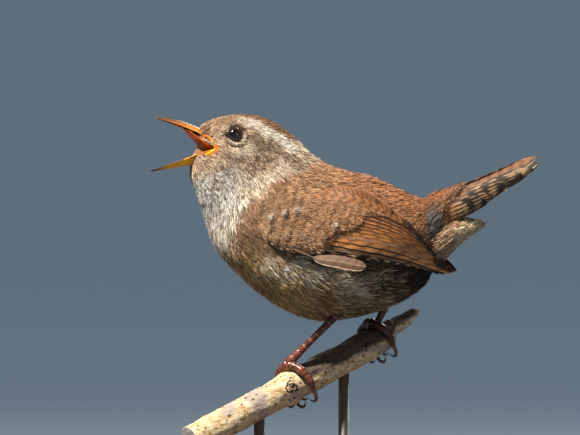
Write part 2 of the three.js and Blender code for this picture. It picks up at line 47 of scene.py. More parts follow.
# Ribs of the body from the face to the vent: top x and z, bottom x and z, half width.
BODY = np.array([
    [-22.6, 20.0, -24.4, 11.4, 1.9],
    [-21.2, 20.9, -24.3, 10.8, 3.2],
    [-18.8, 21.9, -23.9, 9.0, 4.9],
    [-15.6, 22.6, -22.9, 6.6, 6.5],
    [-12.2, 22.7, -22.0, 4.1, 7.4],
    [-8.4, 22.1, -21.1, 1.7, 7.9],
    [-4.4, 20.1, -20.4, -1.0, 8.7],
    [-0.7, 17.2, -19.5, -4.1, 10.2],
    [2.9, 13.7, -17.6, -7.9, 12.2],
    [7.1, 11.2, -13.8, -12.1, 13.9],
    [11.6, 9.9, -8.4, -16.8, 14.9],
    [16.7, 8.6, -2.2, -20.6, 15.2],
    [21.1, 6.6, 5.6, -22.6, 14.6],
    [24.7, 4.8, 14.4, -21.2, 12.8],
    [26.9, 4.0, 22.2, -18.4, 10.2],
    [28.4, 3.2, 27.6, -14.6, 7.2],
    [29.6, 1.0, 30.2, -9.4, 3.6],
])
HEAD_TURN = (4.0, 8.5)  # the ribs between which the head's turn fades out

# Ribs of the folded wing from the shoulder to the tip: upper and lower edge.
WING = np.array([
    [-8.9, 3.2, -9.9, -2.2],
    [-5.6, 5.6, -7.2, -5.2],
    [0.6, 6.6, -2.4, -7.0],
    [7.6, 6.4, 4.4, -7.8],
    [13.8, 5.2, 11.6, -8.9],
    [19.0, 2.4, 18.2, -9.9],
    [23.4, -1.6, 24.2, -11.1],
    [27.2, -7.0, 29.2, -12.5],
    [32.2, -13.1, 32.6, -13.5],
])
WING_STANDS_OUT = 1.1
FAR_WING_REACH = 1.5

# The loose feathers over the tail's root and those under it: ribs like the body's.
TAIL_ROOT = np.array([
    [24.0, 4.4, 29.0, -9.0, 7.0],
    [27.0, 4.0, 30.8, -7.2, 6.2],
    [30.2, 5.4, 32.6, -3.4, 4.6],
    [33.0, 6.5, 34.4, 1.2, 3.2],
    [35.4, 7.4, 36.0, 5.2, 1.4],
])
UNDER_TAIL = np.array([
    [28.6, -2.0, 27.6, -11.0, 6.6],
    [31.6, -0.6, 31.4, -9.3, 6.0],
    [35.4, 0.1, 35.2, -5.6, 4.2],
    [38.6, -0.4, 38.4, -3.3, 2.2],
    [40.4, -1.0, 40.5, -1.8, 0.7],
])

# Upper and lower half of the bill: x, middle line, cutting edge, half width.
BILL_UPPER = np.array([
    [-20.6, 19.0, 16.6, 2.75],
    [-22.6, 20.0, 18.3, 2.35],
    [-24.6, 20.8, 19.3, 1.85],
    [-27.0, 21.6, 20.4, 1.35],
    [-29.4, 22.05, 21.2, 0.9],
    [-31.9, 22.35, 22.0, 0.3],
])
BILL_LOWER = np.array([
    [-20.6, 11.6, 14.0, 2.7],
    [-22.8, 11.5, 13.35, 2.3],
    [-25.2, 11.45, 12.9, 1.8],
    [-28.0, 11.0, 12.15, 1.25],
    [-30.6, 10.55, 11.2, 0.75],
    [-33.1, 10.15, 10.45, 0.25],
])
MOUTH_CORNER = (-19.9, 14.7)
MOUTH_UPPER = (-25.6, 19.9)
MOUTH_LOWER = (-26.4, 12.4)
# The yellow fold of skin round the mouth's corner: x, z and how far out it lies.
GAPE = np.array([
    [-22.2, 17.9, 3.7], [-20.95, 17.0, 4.45], [-20.3, 15.8, 4.95], [-19.85, 14.7, 5.15],
    [-20.7, 14.1, 4.95], [-21.7, 13.4, 4.5], [-22.5, 12.6, 3.9],
])
EYE = {"x": -15.8, "z": 17.7, "out": 5.15, "radius": 1.85}

LEGS = {
    "left": {"knee": (11.5, -6.6, -14.2), "heel": (9.4, -5.6, -20.4), "foot": (-2.6, -4.9, -32.3)},
    "right": {"knee": (19.6, 6.2, -13.2), "heel": (18.9, 6.2, -20.0), "foot": (16.2, 6.3, -25.4)},
}
TARSUS_RADIUS = 0.8
TOE_RADIUS = 0.85
# Degrees round the branch from its top, the toe's shift along it, and the claw's further turn.
TOES = (
    {"name": "hind", "from": 8, "to": 112, "shift": 1.3, "claw": 62},
    {"name": "inner", "from": -6, "to": -112, "shift": -1.9, "claw": -58},
    {"name": "middle", "from": -10, "to": -138, "shift": -0.1, "claw": -60},
    {"name": "outer", "from": -6, "to": -114, "shift": 1.9, "claw": -56},
)
CLAW_LIFT = 1.5
CLEARANCE = 0.3

# The branch: a place on its middle line, its direction, and its radius at distances along it.
BRANCH_MIDDLE = np.array([6.4, 0.5, -33.2 + AXIS_HEIGHT])
BRANCH_DIRECTION = np.array([1, 0.56, 0.53]) / np.linalg.norm([1, 0.56, 0.53])
BRANCH_SECTIONS = np.array([
    [-38.6, 3.35], [-26.0, 3.3], [-15.0, 3.25], [-11.5, 3.5], [-6.0, 3.3],
    [10.0, 3.2], [16.5, 2.9], [18.5, 1.75], [24.6, 1.45],
])

FULL_TURN = 6.283
PHOTO_WIDTH = 580
PIXELS_PER_MM = 4.5


# Numbers and arrays

def smooth(x, a, b):
    """0 below a, 1 above b, and 3t^2 - 2t^3 between them."""
    t = np.clip((x - a) / (b - a), 0, 1)
    return t * t * (3 - 2 * t)


def spline(table, at):
    """Rows of a table at fractional indices, by Catmull-Rom interpolation."""
    table = np.asarray(table, float)
    last = len(table) - 1
    at = np.asarray(at, float)
    i = np.clip(np.floor(at).astype(int), 0, last - 1)
    t = (at - i)[..., None]
    p0, p1, p2, p3 = (table[np.clip(i + k, 0, last)] for k in (-1, 0, 1, 2))
    return 0.5 * (
        2 * p1 + (p2 - p0) * t + (2 * p0 - 5 * p1 + 4 * p2 - p3) * t**2
        + (3 * p1 - p0 - 3 * p2 + p3) * t**3
    )


def unit(v):
    """Vectors divided by their lengths."""
    return v / np.maximum(np.linalg.norm(v, axis=-1, keepdims=True), 1e-9)


def mix(a, b, share):
    """a + (b - a) * share, where share is one number for each row."""
    return a + (b - a) * np.asarray(share)[..., None]


def srgb(r, g, b):
    """Linear colour of an sRGB triple from 0 to 255."""
    c = np.array([r, g, b]) / 255
    return np.where(c <= 0.04045, c / 12.92, ((c + 0.055) / 1.055) ** 2.4)


def near_line(x, z, points, reach):
    """1 on a broken line in the side view, falling to 0 at the distance reach from it."""
    best = np.full(np.shape(x), 1e9)
    for (ax, az), (bx, bz) in zip(points, points[1:]):
        dx, dz = bx - ax, bz - az
        t = np.clip(((x - ax) * dx + (z - az) * dz) / (dx * dx + dz * dz), 0, 1)
        best = np.minimum(best, np.hypot(x - ax - t * dx, z - az - t * dz))
    return 1 - smooth(best, 0.35 * reach, reach)


def stripes(phase, low, high):
    """One stripe for each unit of phase: 0 where its sine is below low, 1 above high."""
    return smooth(np.sin(FULL_TURN * phase), low, high)


def spot(x, z, at, radius):
    """1 near a place in the side view, falling to 0 at the radius."""
    return 1 - smooth(np.hypot(x - at[0], z - at[1]), 0.4 * radius, radius)


def waves(p, size, seed):
    """Soft irregular values from 0 to 1: sines of p / size in directions drawn from seed."""
    r = np.random.default_rng(seed)
    total = np.zeros(p.shape[:-1])
    for _ in range(7):
        direction = r.normal(size=p.shape[-1])
        total += np.sin(p @ direction / size + r.uniform(0, FULL_TURN))
    return np.clip(0.5 + total / 7, 0, 1)


# The bird's form

def turn_head(x, y, z, share=1.0):
    """Turns the head about the pivot: sideways by yaw, and the far side down by roll."""
    yaw, roll = HEAD_YAW * share, HEAD_ROLL * share
    bend = np.where(x < HEAD_PIVOT_X, (x - HEAD_PIVOT_X) * np.tan(yaw), 0)
    return np.stack(np.broadcast_arrays(
        x - y * np.sin(yaw), bend + y * np.cos(yaw), z - y * np.sin(roll) + AXIS_HEIGHT
    ), -1)


def rib_point(table, u, v, grow):
    """Ellipses through each rib's top and bottom point, grown by grow: v runs round from the top.
    The last rib goes a little further for the body, and in a straight line for the tail's coats."""
    last = len(table) - (0.85 if table is BODY else 1.0)
    r = spline(table, np.minimum(u, last))
    r = r + np.maximum(np.asarray(u) - last, 0)[..., None] * (table[-1] - table[-2]) * (table is not BODY)
    r[..., 4] = np.maximum(r[..., 4], 0.3)
    mx, mz = (r[..., 0] + r[..., 2]) / 2, (r[..., 1] + r[..., 3]) / 2
    rx, rz = (r[..., 0] - r[..., 2]) / 2, (r[..., 1] - r[..., 3]) / 2
    k = (1 + grow / np.hypot(rx, rz)) * np.cos(2 * np.pi * v)
    return mx + rx * k, (r[..., 4] + grow) * np.sin(2 * np.pi * v), mz + rz * k


def body_plain(u, v, grow=0.0):
    """The body's outline with the head straight, as x, y and z above the axis."""
    return rib_point(BODY, u, v, grow)


def body(u, v, grow=0.0):
    """The body's outline with the head turned."""
    x, y, z = body_plain(u, v, grow)
    return turn_head(x, y, z, 1 - smooth(np.asarray(u, float), *HEAD_TURN))


def tail_root(u, v, grow=0.0):
    """Outline of the loose feathers over the tail's root, through its ribs."""
    x, y, z = rib_point(TAIL_ROOT, u, v, grow)
    return np.stack([x, y, z + AXIS_HEIGHT], -1)


def under_tail(u, v, grow=0.0):
    """Outline of the feathers under the tail, through their ribs."""
    x, y, z = rib_point(UNDER_TAIL, u, v, grow)
    return np.stack([x, y, z + AXIS_HEIGHT], -1)


def body_half_width(x, z):
    """Half width of the body at a place in the side view, 0 outside its outline. It finds the
    rib whose line passes through the place, between two ribs on either side of it, and takes
    the half width times sqrt(1 - c^2), where c is how far along that line the place is."""
    us = np.linspace(4, len(BODY) - 1, 241)
    r = spline(BODY, us)
    dx, dz = r[:, 2] - r[:, 0], r[:, 3] - r[:, 1]
    side = dx * (z[..., None] - r[:, 1]) - dz * (x[..., None] - r[:, 0])
    change = np.sign(side[..., 1:]) != np.sign(side[..., :-1])
    k = np.argmax(change, -1)
    a = np.take_along_axis(side, k[..., None], -1)[..., 0]
    b = np.take_along_axis(side, k[..., None] + 1, -1)[..., 0]
    u = us[k] + (us[1] - us[0]) * a / np.where(a == b, 1, a - b)
    r = spline(BODY, u)
    dx, dz = r[..., 2] - r[..., 0], r[..., 3] - r[..., 1]
    c = 1 - 2 * ((x - r[..., 0]) * dx + (z - r[..., 1]) * dz) / (dx**2 + dz**2)
    inside = np.any(change, -1) & (np.abs(c) < 1)
    return np.where(inside, r[..., 4] * np.sqrt(np.clip(1 - c * c, 0, 1)), 0)


def wing_form(along, down, side):
    """The folded wing's outer face: it lies over the body, and narrows behind it to the tip."""
    r = spline(WING, along * (len(WING) - 1))
    reach = FAR_WING_REACH if side == RIGHT else 0
    x = r[..., 0] + (r[..., 2] - r[..., 0]) * down + reach * along**3
    z = r[..., 1] + (r[..., 3] - r[..., 1]) * down
    back = smooth(x, 8, 33)
    least = 11.5 * smooth(x, -6, 14) * (1 - back) + 2.4 * back
    y = (body_half_width(x, z) ** 4 + least**4) ** 0.25 + WING_STANDS_OUT
    edge = 1 - 0.72 * np.abs(2 * down - 1) ** 6
    return np.stack([x, side * (y - WING_STANDS_OUT * (1 - edge)), z + AXIS_HEIGHT], -1)


def wing_grid(side):
    """Points of the wing's outer face on a grid, carried straight on past both edges."""
    along, down = np.meshgrid(np.linspace(0, 1, 97), np.linspace(-0.1, 1.1, 49), indexing="ij")
    grid = wing_form(along, np.clip(down, 0, 1), side)
    past = down - np.clip(down, 0, 1)
    return grid + past[..., None] * (grid[:, -9:-8] - grid[:, 8:9])


WING_GRID = {side: wing_grid(side) for side, _ in SIDES}


def wing(side, along, down, out=0.0):
    """The wing's outer face read from its grid, moved outwards by out."""
    grid = WING_GRID[side]
    a = np.clip(along, 0, 1) * (grid.shape[0] - 1)
    d = np.clip((down + 0.1) / 1.2, 0, 1) * (grid.shape[1] - 1)
    i = np.clip(np.floor(a).astype(int), 0, grid.shape[0] - 2)
    j = np.clip(np.floor(d).astype(int), 0, grid.shape[1] - 2)
    s, t = (a - i)[..., None], (d - j)[..., None]
    p = (grid[i, j] * (1 - s) + grid[i + 1, j] * s) * (1 - t)
    p = p + (grid[i, j + 1] * (1 - s) + grid[i + 1, j + 1] * s) * t
    return p + np.stack(np.broadcast_arrays(0 * along, side * out, 0 * along), -1)


# Colours of the plumage

MANTLE = srgb(166, 124, 90)
BACK = srgb(160, 104, 64)
CROWN = srgb(136, 100, 72)
FOREHEAD = srgb(176, 146, 118)
CREAM = srgb(226, 208, 186)
WHITE = srgb(248, 240, 226)
CHEEK = srgb(84, 60, 42)
FACE = srgb(190, 164, 140)
BREAST = srgb(184, 156, 128)
GREY_BROWN = srgb(106, 82, 58)
BELLY = srgb(120, 93, 50)
BUFF = srgb(200, 168, 122)
RUFOUS = srgb(146, 84, 42)
DARK = srgb(30, 20, 14)
DOWN = srgb(82, 78, 82)
PINK_BROWN = srgb(172, 134, 110)
# Where the brown of the side begins behind the pale front: x at heights z.
SIDE_LINE = np.array([[-26, -16.5], [-12, -16.5], [-6.1, -16.6], [-1.7, -16.8], [2.8, -16.4],
                      [6.1, -14.4], [8.8, -10.5], [11.7, -1.0], [22, 12]])


def top_line(x):
    """Height of the bird's upper outline in the side view."""
    return np.interp(x, BODY[:, 0], BODY[:, 1])


def plumage(x, y, z, s, r):
    """Colour at a place of the body, laid on in layers of c + share (colour - c): x, y, z of the
    feather's root with the head unturned, s from its root to its tip, r its own random number."""
    p = np.stack([x, y, z], -1)
    blur = 1.8 * (waves(p, 1.3, 3) - 0.5)
    fine = waves(p, 0.24, 5)
    depth = top_line(x) - z + 0.5 * blur
    head = (1 - smooth(x - 0.25 * z, -12.8, -9.6)) * smooth(z - 0.35 * (x + 16) + 0.6 * blur, 2.5, 6.0)
    side = smooth(x - np.interp(z, SIDE_LINE[:, 0], SIDE_LINE[:, 1]) + blur, -1.4, 1.6)
    low = 1 - smooth(z + 0.28 * x + blur, -15, -6)
    c = mix(CREAM, WHITE, spot(x, z, (-19.5, -1.0), 6.5))
    c = mix(c, BREAST, 0.4 * fine)
    c = mix(c, BREAST, 0.7 * smooth(-z, 2.5, 8))
    brown = mix(srgb(140, 106, 76), MANTLE, 1 - smooth(depth, 6, 17))
    brown = mix(brown, BACK, smooth(x, 0, 13) * (1 - smooth(depth, 4, 10)))
    # Partly painted shade: the side's brown darkens downwards, its own greyer brown deepened as shade under
    # the breast's bulge.
    brown = mix(brown, srgb(124, 98, 74), smooth(-z, 1, 8) * 0.9)
    c = mix(c, brown, side * (1 - head))
    # Grey-brown low on the breast's side: its own colour, deepened as painted shade under the breast's bulge.
    c = mix(c, GREY_BROWN, 0.8 * smooth(-z - 0.25 * x, 1.5, 8) * smooth(x + blur, -18, -13))
    c = mix(c, BELLY, low)
    c = mix(c, srgb(190, 156, 104), 0.85 * low * (1 - smooth(x, -4, 12)))
    c = mix(c, BUFF, 0.45 * low * smooth(fine, 0.5, 0.75) * (1 - smooth(x, 2, 16)))
    face = mix(FACE, srgb(206, 172, 142), smooth(r, 0.4, 0.8))
    c = mix(c, face, head * (1 - smooth(-z, -9.5, -5.5)) * 0.9)
    front = (1 - side) * (1 - low) * smooth(-depth, -30, -7)
    c = mix(c, srgb(126, 100, 80), 0.75 * front * smooth(-r, -0.34, -0.26))
    chin = spot(x, z, (-20.5, 7.0), 9.0) * (1 - smooth(z - 0.3 * x, 16, 18))
    c = mix(c, mix(WHITE, srgb(120, 90, 70), smooth(-r, -0.3, -0.24)), chin)
    mottled = head * smooth(fine, 0.44, 0.58)
    c = mix(c, CHEEK, mottled * spot(x, z, (-11.0, 12.8), 9.0) * (1 - spot(x, z, (-20.5, 15), 3)))
    neck_side = near_line(x, z, ((-14.6, 7.4), (-12.0, 9.0), (-9.4, 10.2)), 2.0)
    c = mix(c, CREAM, 0.85 * neck_side * (0.6 + 0.4 * smooth(r, 0.2, 0.4)))
    c = mix(c, CREAM, 0.8 * near_line(x, z, ((-17.6, 14.6), (-15.2, 14.9), (-13.4, 15.9)), 1.0))
    crown = (1 - smooth(depth, 2.2, 3.6)) * (1 - smooth(x - 0.25 * z, -9, -5.5))
    c = mix(c, mix(FOREHEAD, CROWN, smooth(x, -20, -14)), crown)
    brow = near_line(x, z, ((-15.2, 20.9), (-12.0, 20.3), (-7.5, 18.7), (-3.6, 16.6)), 1.5)
    c = mix(c, WHITE, brow * (0.7 + 0.3 * smooth(x, -13, -8)) * (0.75 + 0.35 * fine))
    c = mix(c, FACE, 0.5 * near_line(x, z, ((-20.5, 19.0), (-14.6, 20.9)), 1.2))
    stripe = near_line(x, z, ((-13.4, 17.6), (-9.0, 16.6), (-4.0, 14.4), (-1.0, 12.8)), 1.7)
    c = mix(c, CHEEK, 0.8 * stripe * (0.6 + 0.6 * fine))
    c = mix(c, srgb(96, 66, 44), 0.6 * head * smooth(-r, -0.36, -0.26) * (1 - 0.6 * brow))
    c = mix(c, CHEEK, 0.5 * near_line(x, z, ((-20.2, 14.2), (-17.0, 13.4)), 0.9))
    pale = smooth(s, 0.45, 1.0) * (0.25 + 0.5 * smooth(r, 0.5, 1.0))
    c = mix(c, CREAM, 0.55 * pale * (1 - crown) * (1 - 0.85 * side) * (1 - 0.5 * low))
    barred = smooth(x - 0.5 * (z + 14), 11, 19) * smooth(depth, 9, 13)
    bars = stripes(1.3 * s + 0.9 * r + 0.35 * x, -0.1, 0.5)
    c = mix(c, mix(BUFF, DARK, bars * 0.85), 0.75 * barred)
    # Painted shade under the folded wing: the body below its lower edge goes to DARK * 0.6.
    under = smooth(x, 6, 20) * (1 - smooth(z, -12, -7)) * smooth(z + 0.2 * x, -19, -12)
    c = mix(c, DARK * 0.6, 0.95 * under)
    # Painted shade low at the rear, under the wing's tip.
    c = mix(c, DARK, 0.5 * smooth(x, 18, 26) * smooth(-z, 3, 8))
    flank = smooth(x, -6, 2) * smooth(-z, 8, 12) * (1 - smooth(x, 16, 24))
    puff = near_line(x + blur, z, ((-9.0, -8.8), (-2.0, -10.6), (4.0, -12.4), (10.0, -17.0)), 3.6)
    puff = puff * smooth(waves(p, 0.6, 19), 0.30, 0.46)
    c = mix(c, srgb(244, 222, 196), 0.95 * puff * smooth(s, 0.0, 0.3))
    wisps = smooth(s, 0.35, 0.8) * smooth(r, 0.66, 0.74) * smooth(waves(p, 1.1, 17), 0.40, 0.56)
    c = mix(c, srgb(232, 204, 168), 0.9 * flank * wisps)
    c = mix(c, DARK, 0.4 * flank * smooth(-r, -0.3, -0.2))
    scaly = smooth(x, -9, 0) * (1 - smooth(depth, 8, 14))
    c = mix(c, DARK, 0.38 * scaly * (1 - smooth(s, 0.35, 0.65)))
    c = mix(c, srgb(206, 166, 128), 0.30 * scaly * smooth(s, 0.7, 0.9))
    # Painted shade in the hollow below the wing's front edge.
    painted_shade_below_wing = spot(x, z, (10.0, -8.6), 6.0) * smooth(-z, 5.5, 7)
    c = mix(c, DARK, 0.5 * painted_shade_below_wing)
    c = mix(c, RUFOUS, 0.35 * smooth(x, 12, 24) * (1 - smooth(depth, 5, 9)))
    c = c * (0.86 + 0.28 * waves(p, 0.9, 11))[..., None]
    return np.clip(c, 0.004, 0.92)


# Meshes

def make_mesh(name, points, faces, paint=None, patches=None, own=None):
    """One object from arrays: points in millimetres, faces of three or four corners, and
    attributes for each point: paint (a colour), patches (the OFBake map), own (any numbers)."""
    mesh = bpy.data.meshes.new(name)
    faces = [np.asarray(f, np.int32) for f in (faces if isinstance(faces, (list, tuple)) else [faces])]
    loops = np.concatenate([f.ravel() for f in faces])
    sizes = np.concatenate([np.full(len(f), f.shape[1], np.int32) for f in faces])
    mesh.vertices.add(len(points))
    mesh.vertices.foreach_set("co", (points * MM).astype(np.float32).ravel())
    mesh.loops.add(len(loops))
    mesh.loops.foreach_set("vertex_index", loops)
    mesh.polygons.add(len(sizes))
    mesh.polygons.foreach_set("loop_start", np.concatenate([[0], np.cumsum(sizes)[:-1]]).astype(np.int32))
    mesh.polygons.foreach_set("use_smooth", np.ones(len(sizes), bool))
    if paint is not None:
        rgba = np.concatenate([paint, np.ones((len(paint), 1))], 1).astype(np.float32)
        layer = mesh.attributes.new("paint", "FLOAT_COLOR", "POINT")
        layer.data.foreach_set("color", rgba.ravel())
    for key, values in (own or {}).items():
        layer = mesh.attributes.new(key, "FLOAT", "POINT")
        layer.data.foreach_set("value", np.asarray(values, np.float32).ravel())
    mesh.update(calc_edges=True)
    mesh.validate()
    if patches is not None:
        layer = mesh.uv_layers.new(name="OFBake")
        layer.data.foreach_set("uv", patches[loops].astype(np.float32).ravel())
    piece = bpy.data.objects.new(name, mesh)
    bpy.context.scene.collection.objects.link(piece)
    return piece


def grid_faces(rows, columns, wrap=False):
    """Quads of a grid whose points are stored row by row, closed round its columns if wrap."""
    i, j = np.meshgrid(np.arange(rows - 1), np.arange(columns if wrap else columns - 1), indexing="ij")
    n = (j + 1) % columns
    a, b = i * columns + j, i * columns + n
    return np.stack([a, b, b + columns, a + columns], -1).reshape(-1, 4)


def closed_loft(rings):
    """Points and faces of a loft through rings (rows, columns, 3), with a fan at each end."""
    rows, columns = rings.shape[:2]
    points = np.concatenate([rings.reshape(-1, 3), rings[:1].mean(1), rings[-1:].mean(1)])
    j = np.arange(columns)
    n = (j + 1) % columns
    first = np.stack([n, j, np.full(columns, rows * columns)], -1)
    base = (rows - 1) * columns
    last = np.stack([base + j, base + n, np.full(columns, rows * columns + 1)], -1)
    return points, [grid_faces(rows, columns, True), np.concatenate([first, last])]


def end_means(values):
    """Values (rows, columns, 3) of a loft's rings, then the means of its first and last ring."""
    return np.concatenate([values.reshape(-1, 3), values[:1].mean(1), values[-1:].mean(1)])


def end_firsts(values):
    """Values of a loft's rings as one list, then the first of its first and of its last ring."""
    return np.concatenate([values.reshape(-1, *values.shape[2:]), values[:1, 0], values[-1:, 0]])


def outward(points, faces):
    """Faces turned so that the closed surface has a positive volume."""
    volume = 0.0
    for f in faces:
        a, b, c = points[f[:, 0]], points[f[:, 1]], points[f[:, 2]]
        volume += np.einsum("ij,ij->i", a, np.cross(b, c)).sum()
        if f.shape[1] == 4:
            d = points[f[:, 3]]
            volume += np.einsum("ij,ij->i", a, np.cross(c, d)).sum()
    return faces if volume > 0 else [f[:, ::-1] for f in faces]


def lofted(name, rings, paint=None, **more):
    """A closed loft through rings as an object, its faces outwards."""
    points, faces = closed_loft(rings)
    return make_mesh(name, points, outward(points, faces), paint=paint, **more)


def join(parts):
    """Several (points, faces) as one."""
    points, triangles, quads, start = [], [], [], 0
    for p, faces in parts:
        points.append(p)
        for f in faces:
            (triangles if f.shape[1] == 3 else quads).append(f + start)
        start += len(p)
    return np.concatenate(points), [np.concatenate(g) for g in (quads, triangles) if g]


def tube_rings(path, radii, sides=14, flat=1.0, up=(0, 0, 1)):
    """Rings round a path (rows, 3): radius times (side cos a + up sin a * flat)."""
    tangent = unit(np.gradient(path, axis=0))
    side = unit(np.cross(tangent, np.asarray(up, float)))
    lift = np.cross(side, tangent)
    a = np.linspace(0, 2 * np.pi, sides, endpoint=False)
    return path[:, None] + radii[:, None, None] * (
        side[:, None] * np.cos(a)[None, :, None] + flat * lift[:, None] * np.sin(a)[None, :, None]
    )


# Materials

class Socket:
    """A node's output in an expression: +, -, * and / add Math nodes."""

    def __init__(self, nodes, out):
        self.nodes, self.out = nodes, out

    def _math(self, operation, a, b):
        return self.nodes.add("ShaderNodeMath", {"operation": operation}, {0: a, 1: b})

    def __add__(self, other):
        return self._math("ADD", self, other)

    def __sub__(self, other):
        return self._math("SUBTRACT", self, other)

    def __rsub__(self, other):
        return self._math("SUBTRACT", other, self)

    def __mul__(self, other):
        return self._math("MULTIPLY", self, other)

    def __truediv__(self, other):
        return self._math("DIVIDE", self, other)

    __radd__ = __add__
    __rmul__ = __mul__


class Finish:
    """A material whose nodes are added by one method."""

    def __init__(self, name, **constants):
        self.material = bpy.data.materials.new(name)
        self.material.use_nodes = True
        self.tree = self.material.node_tree
        self.surface = next(n for n in self.tree.nodes if n.type == "BSDF_PRINCIPLED")
        for key, value in constants.items():
            self.surface.inputs[key.replace("_", " ").title().replace("Ior", "IOR")].default_value = value

    def add(self, kind, settings=None, values=None, output=0):
        """A new node with its settings (stops are a colour ramp's) and its inputs' values."""
        node = self.tree.nodes.new(kind)
        for key, value in (settings or {}).items():
            if key == "stops":
                ramp = node.color_ramp.elements
                while len(ramp) < len(value):
                    ramp.new(0.5)
                for stop, (at, colour) in zip(ramp, value):
                    stop.position, stop.color = at, (*colour, 1)
            else:
                setattr(node, key, value)
        for key, value in (values or {}).items():
            self.put(node.inputs[key], value)
        return Socket(self, node.outputs[output])

    def put(self, socket, value):
        """An input's value: a link from a Socket, or else a constant."""
        if isinstance(value, Socket):
            self.tree.links.new(value.out, socket)
        else:
            socket.default_value = value

    def set(self, key, value):
        """One input of the surface."""
        self.put(self.surface.inputs[key], value)

    def place(self):
        """A point's own coordinates, in metres."""
        return self.add("ShaderNodeTexCoord", output=3)

    def noise(self, scale, detail=3.0, rough=0.5, where=None):
        """Cloudy values around 0.5, scale of them to the metre."""
        return self.add("ShaderNodeTexNoise", None, {
            "Vector": where or self.place(), "Scale": scale, "Detail": detail, "Roughness": rough})

    def ramp(self, factor, *stops):
        """A colour for each factor, straight from stop to stop."""
        return self.add("ShaderNodeValToRGB", {"stops": stops}, {0: factor})

    def blend(self, factor, a, b, how="MIX"):
        """a + factor (b - a), or a b for how="MULTIPLY" with a factor of 1."""
        node = self.tree.nodes.new("ShaderNodeMix")
        node.data_type, node.blend_type = "RGBA", how
        for key, value in ((0, factor), (6, a), (7, b)):
            self.put(node.inputs[key], (*value, 1) if isinstance(value, (tuple, list, np.ndarray)) else value)
        return Socket(self, node.outputs[2])

    def attribute(self, name, output=0):
        """A value that the mesh carries, as a colour (output 0) or a number (output 2)."""
        return self.add("ShaderNodeAttribute", {"attribute_name": name}, output=output)

    def bump(self, height, strength, distance):
        """Relief in the shading only, distance metres deep."""
        self.set("Normal", self.add("ShaderNodeBump", None, {
            "Height": height, "Strength": strength, "Distance": distance}))


def painted(name, rough, grain, bump=0.0, **constants):
    """Colour from the mesh's own paint, a little uneven, with grain per metre."""
    f = Finish(name, roughness=rough, **constants)
    speck = f.noise(grain, 4.0, 0.6)
    shade = f.ramp(speck, (0.3, (0.82, 0.8, 0.78)), (0.7, (1.12, 1.12, 1.12)))
    f.set("Base Color", f.blend(1.0, f.attribute("paint"), shade, "MULTIPLY"))
    if bump:
        f.bump(speck, bump, 0.0001)
    return f.material


def bark_finish():
    """Pale bark under a dark skin: the skin covers where the mesh's dark value plus cloudy patches
    is high. Bare wood, small pits and greyish lichen lie over that."""
    f = Finish("bark", roughness=0.85)
    along = f.add("ShaderNodeMapping", None, {
        "Vector": f.place(), "Rotation": (0.0, 0.0, -0.51), "Scale": (0.35, 1.0, 1.0)})
    fine = f.noise(1600.0, 6.0, 0.65, along)
    patches = f.noise(260.0, 3.0, 0.55)
    specks = f.add("ShaderNodeTexVoronoi", None, {"Vector": f.place(), "Scale": 620.0})
    pale = f.ramp(fine, (0.3, srgb(150, 112, 66)), (0.48, srgb(214, 186, 140)),
                  (0.7, srgb(248, 238, 218)))
    lichen = f.ramp(f.noise(170.0, 2.0, 0.4), (0.54, (0.0, 0.0, 0.0)), (0.62, (1.0, 1.0, 1.0)))
    pale = f.blend(lichen * 0.7, pale, srgb(158, 146, 148))
    dark = f.ramp(fine, (0.35, srgb(50, 42, 36)), (0.6, srgb(92, 78, 64)),
                  (0.78, srgb(132, 112, 92)))
    cover = (f.attribute("dark", 2) - 0.5) * 2.0 + 0.4 + (patches - 0.5) * 1.8
    cover = f.add("ShaderNodeClamp", None, {0: cover})
    colour = f.blend(cover, pale, dark)
    holes = f.ramp(specks, (0.16, (1.0, 1.0, 1.0)), (0.24, (0.0, 0.0, 0.0)))
    speckled = f.blend(holes * 0.8, colour, srgb(40, 30, 24))
    f.set("Base Color", f.blend(f.attribute("wood", 2), speckled, srgb(176, 172, 168)))
    f.bump(fine + patches * 0.5, 0.8, 0.0005)
    return f.material


def stand_finish():
    """Dark stained wood: noise stretched twelve times along the base, as grain."""
    f = Finish("stained_wood", roughness=0.42, coat_weight=0.25, coat_roughness=0.2)
    grain = f.add("ShaderNodeMapping", None, {"Vector": f.place(), "Scale": (0.08, 1.0, 1.0)})
    lines = f.noise(420.0, 7.0, 0.6, grain)
    f.set("Base Color", f.ramp(lines, (0.3, srgb(40, 26, 18)), (0.55, srgb(74, 50, 34)),
                               (0.75, srgb(96, 68, 46))))
    f.bump(lines, 0.15, 0.0003)
    return f.material


def rod_finish():
    """Dull steel, cloudy in colour and in roughness."""
    f = Finish("dull_steel", roughness=0.38, metallic=1.0)
    lines = f.noise(900.0, 3.0, 0.5)
    f.set("Base Color", f.ramp(lines, (0.3, (0.30, 0.29, 0.28)), (0.7, (0.42, 0.41, 0.40))))
    f.set("Roughness", lines * 0.2 + 0.28)
    return f.material


def scaled_finish(name, rough, **constants):
    """Horny skin: the mesh's own paint with fine creases."""
    f = Finish(name, roughness=rough, **constants)
    fine = f.noise(2600.0, 3.0, 0.6)
    shade = f.ramp(fine, (0.35, (0.84, 0.82, 0.8)), (0.65, (1.1, 1.1, 1.1)))
    f.set("Base Color", f.blend(1.0, f.attribute("paint"), shade, "MULTIPLY"))
    f.bump(fine, 0.3, 0.00012)
    return f.material


def eye_finish():
    """The mesh's own paint under a clear wet coat."""
    f = Finish("wet_eye", roughness=0.04, coat_weight=1.0, coat_roughness=0.02)
    f.set("Base Color", f.attribute("paint"))
    return f.material


# Feathers

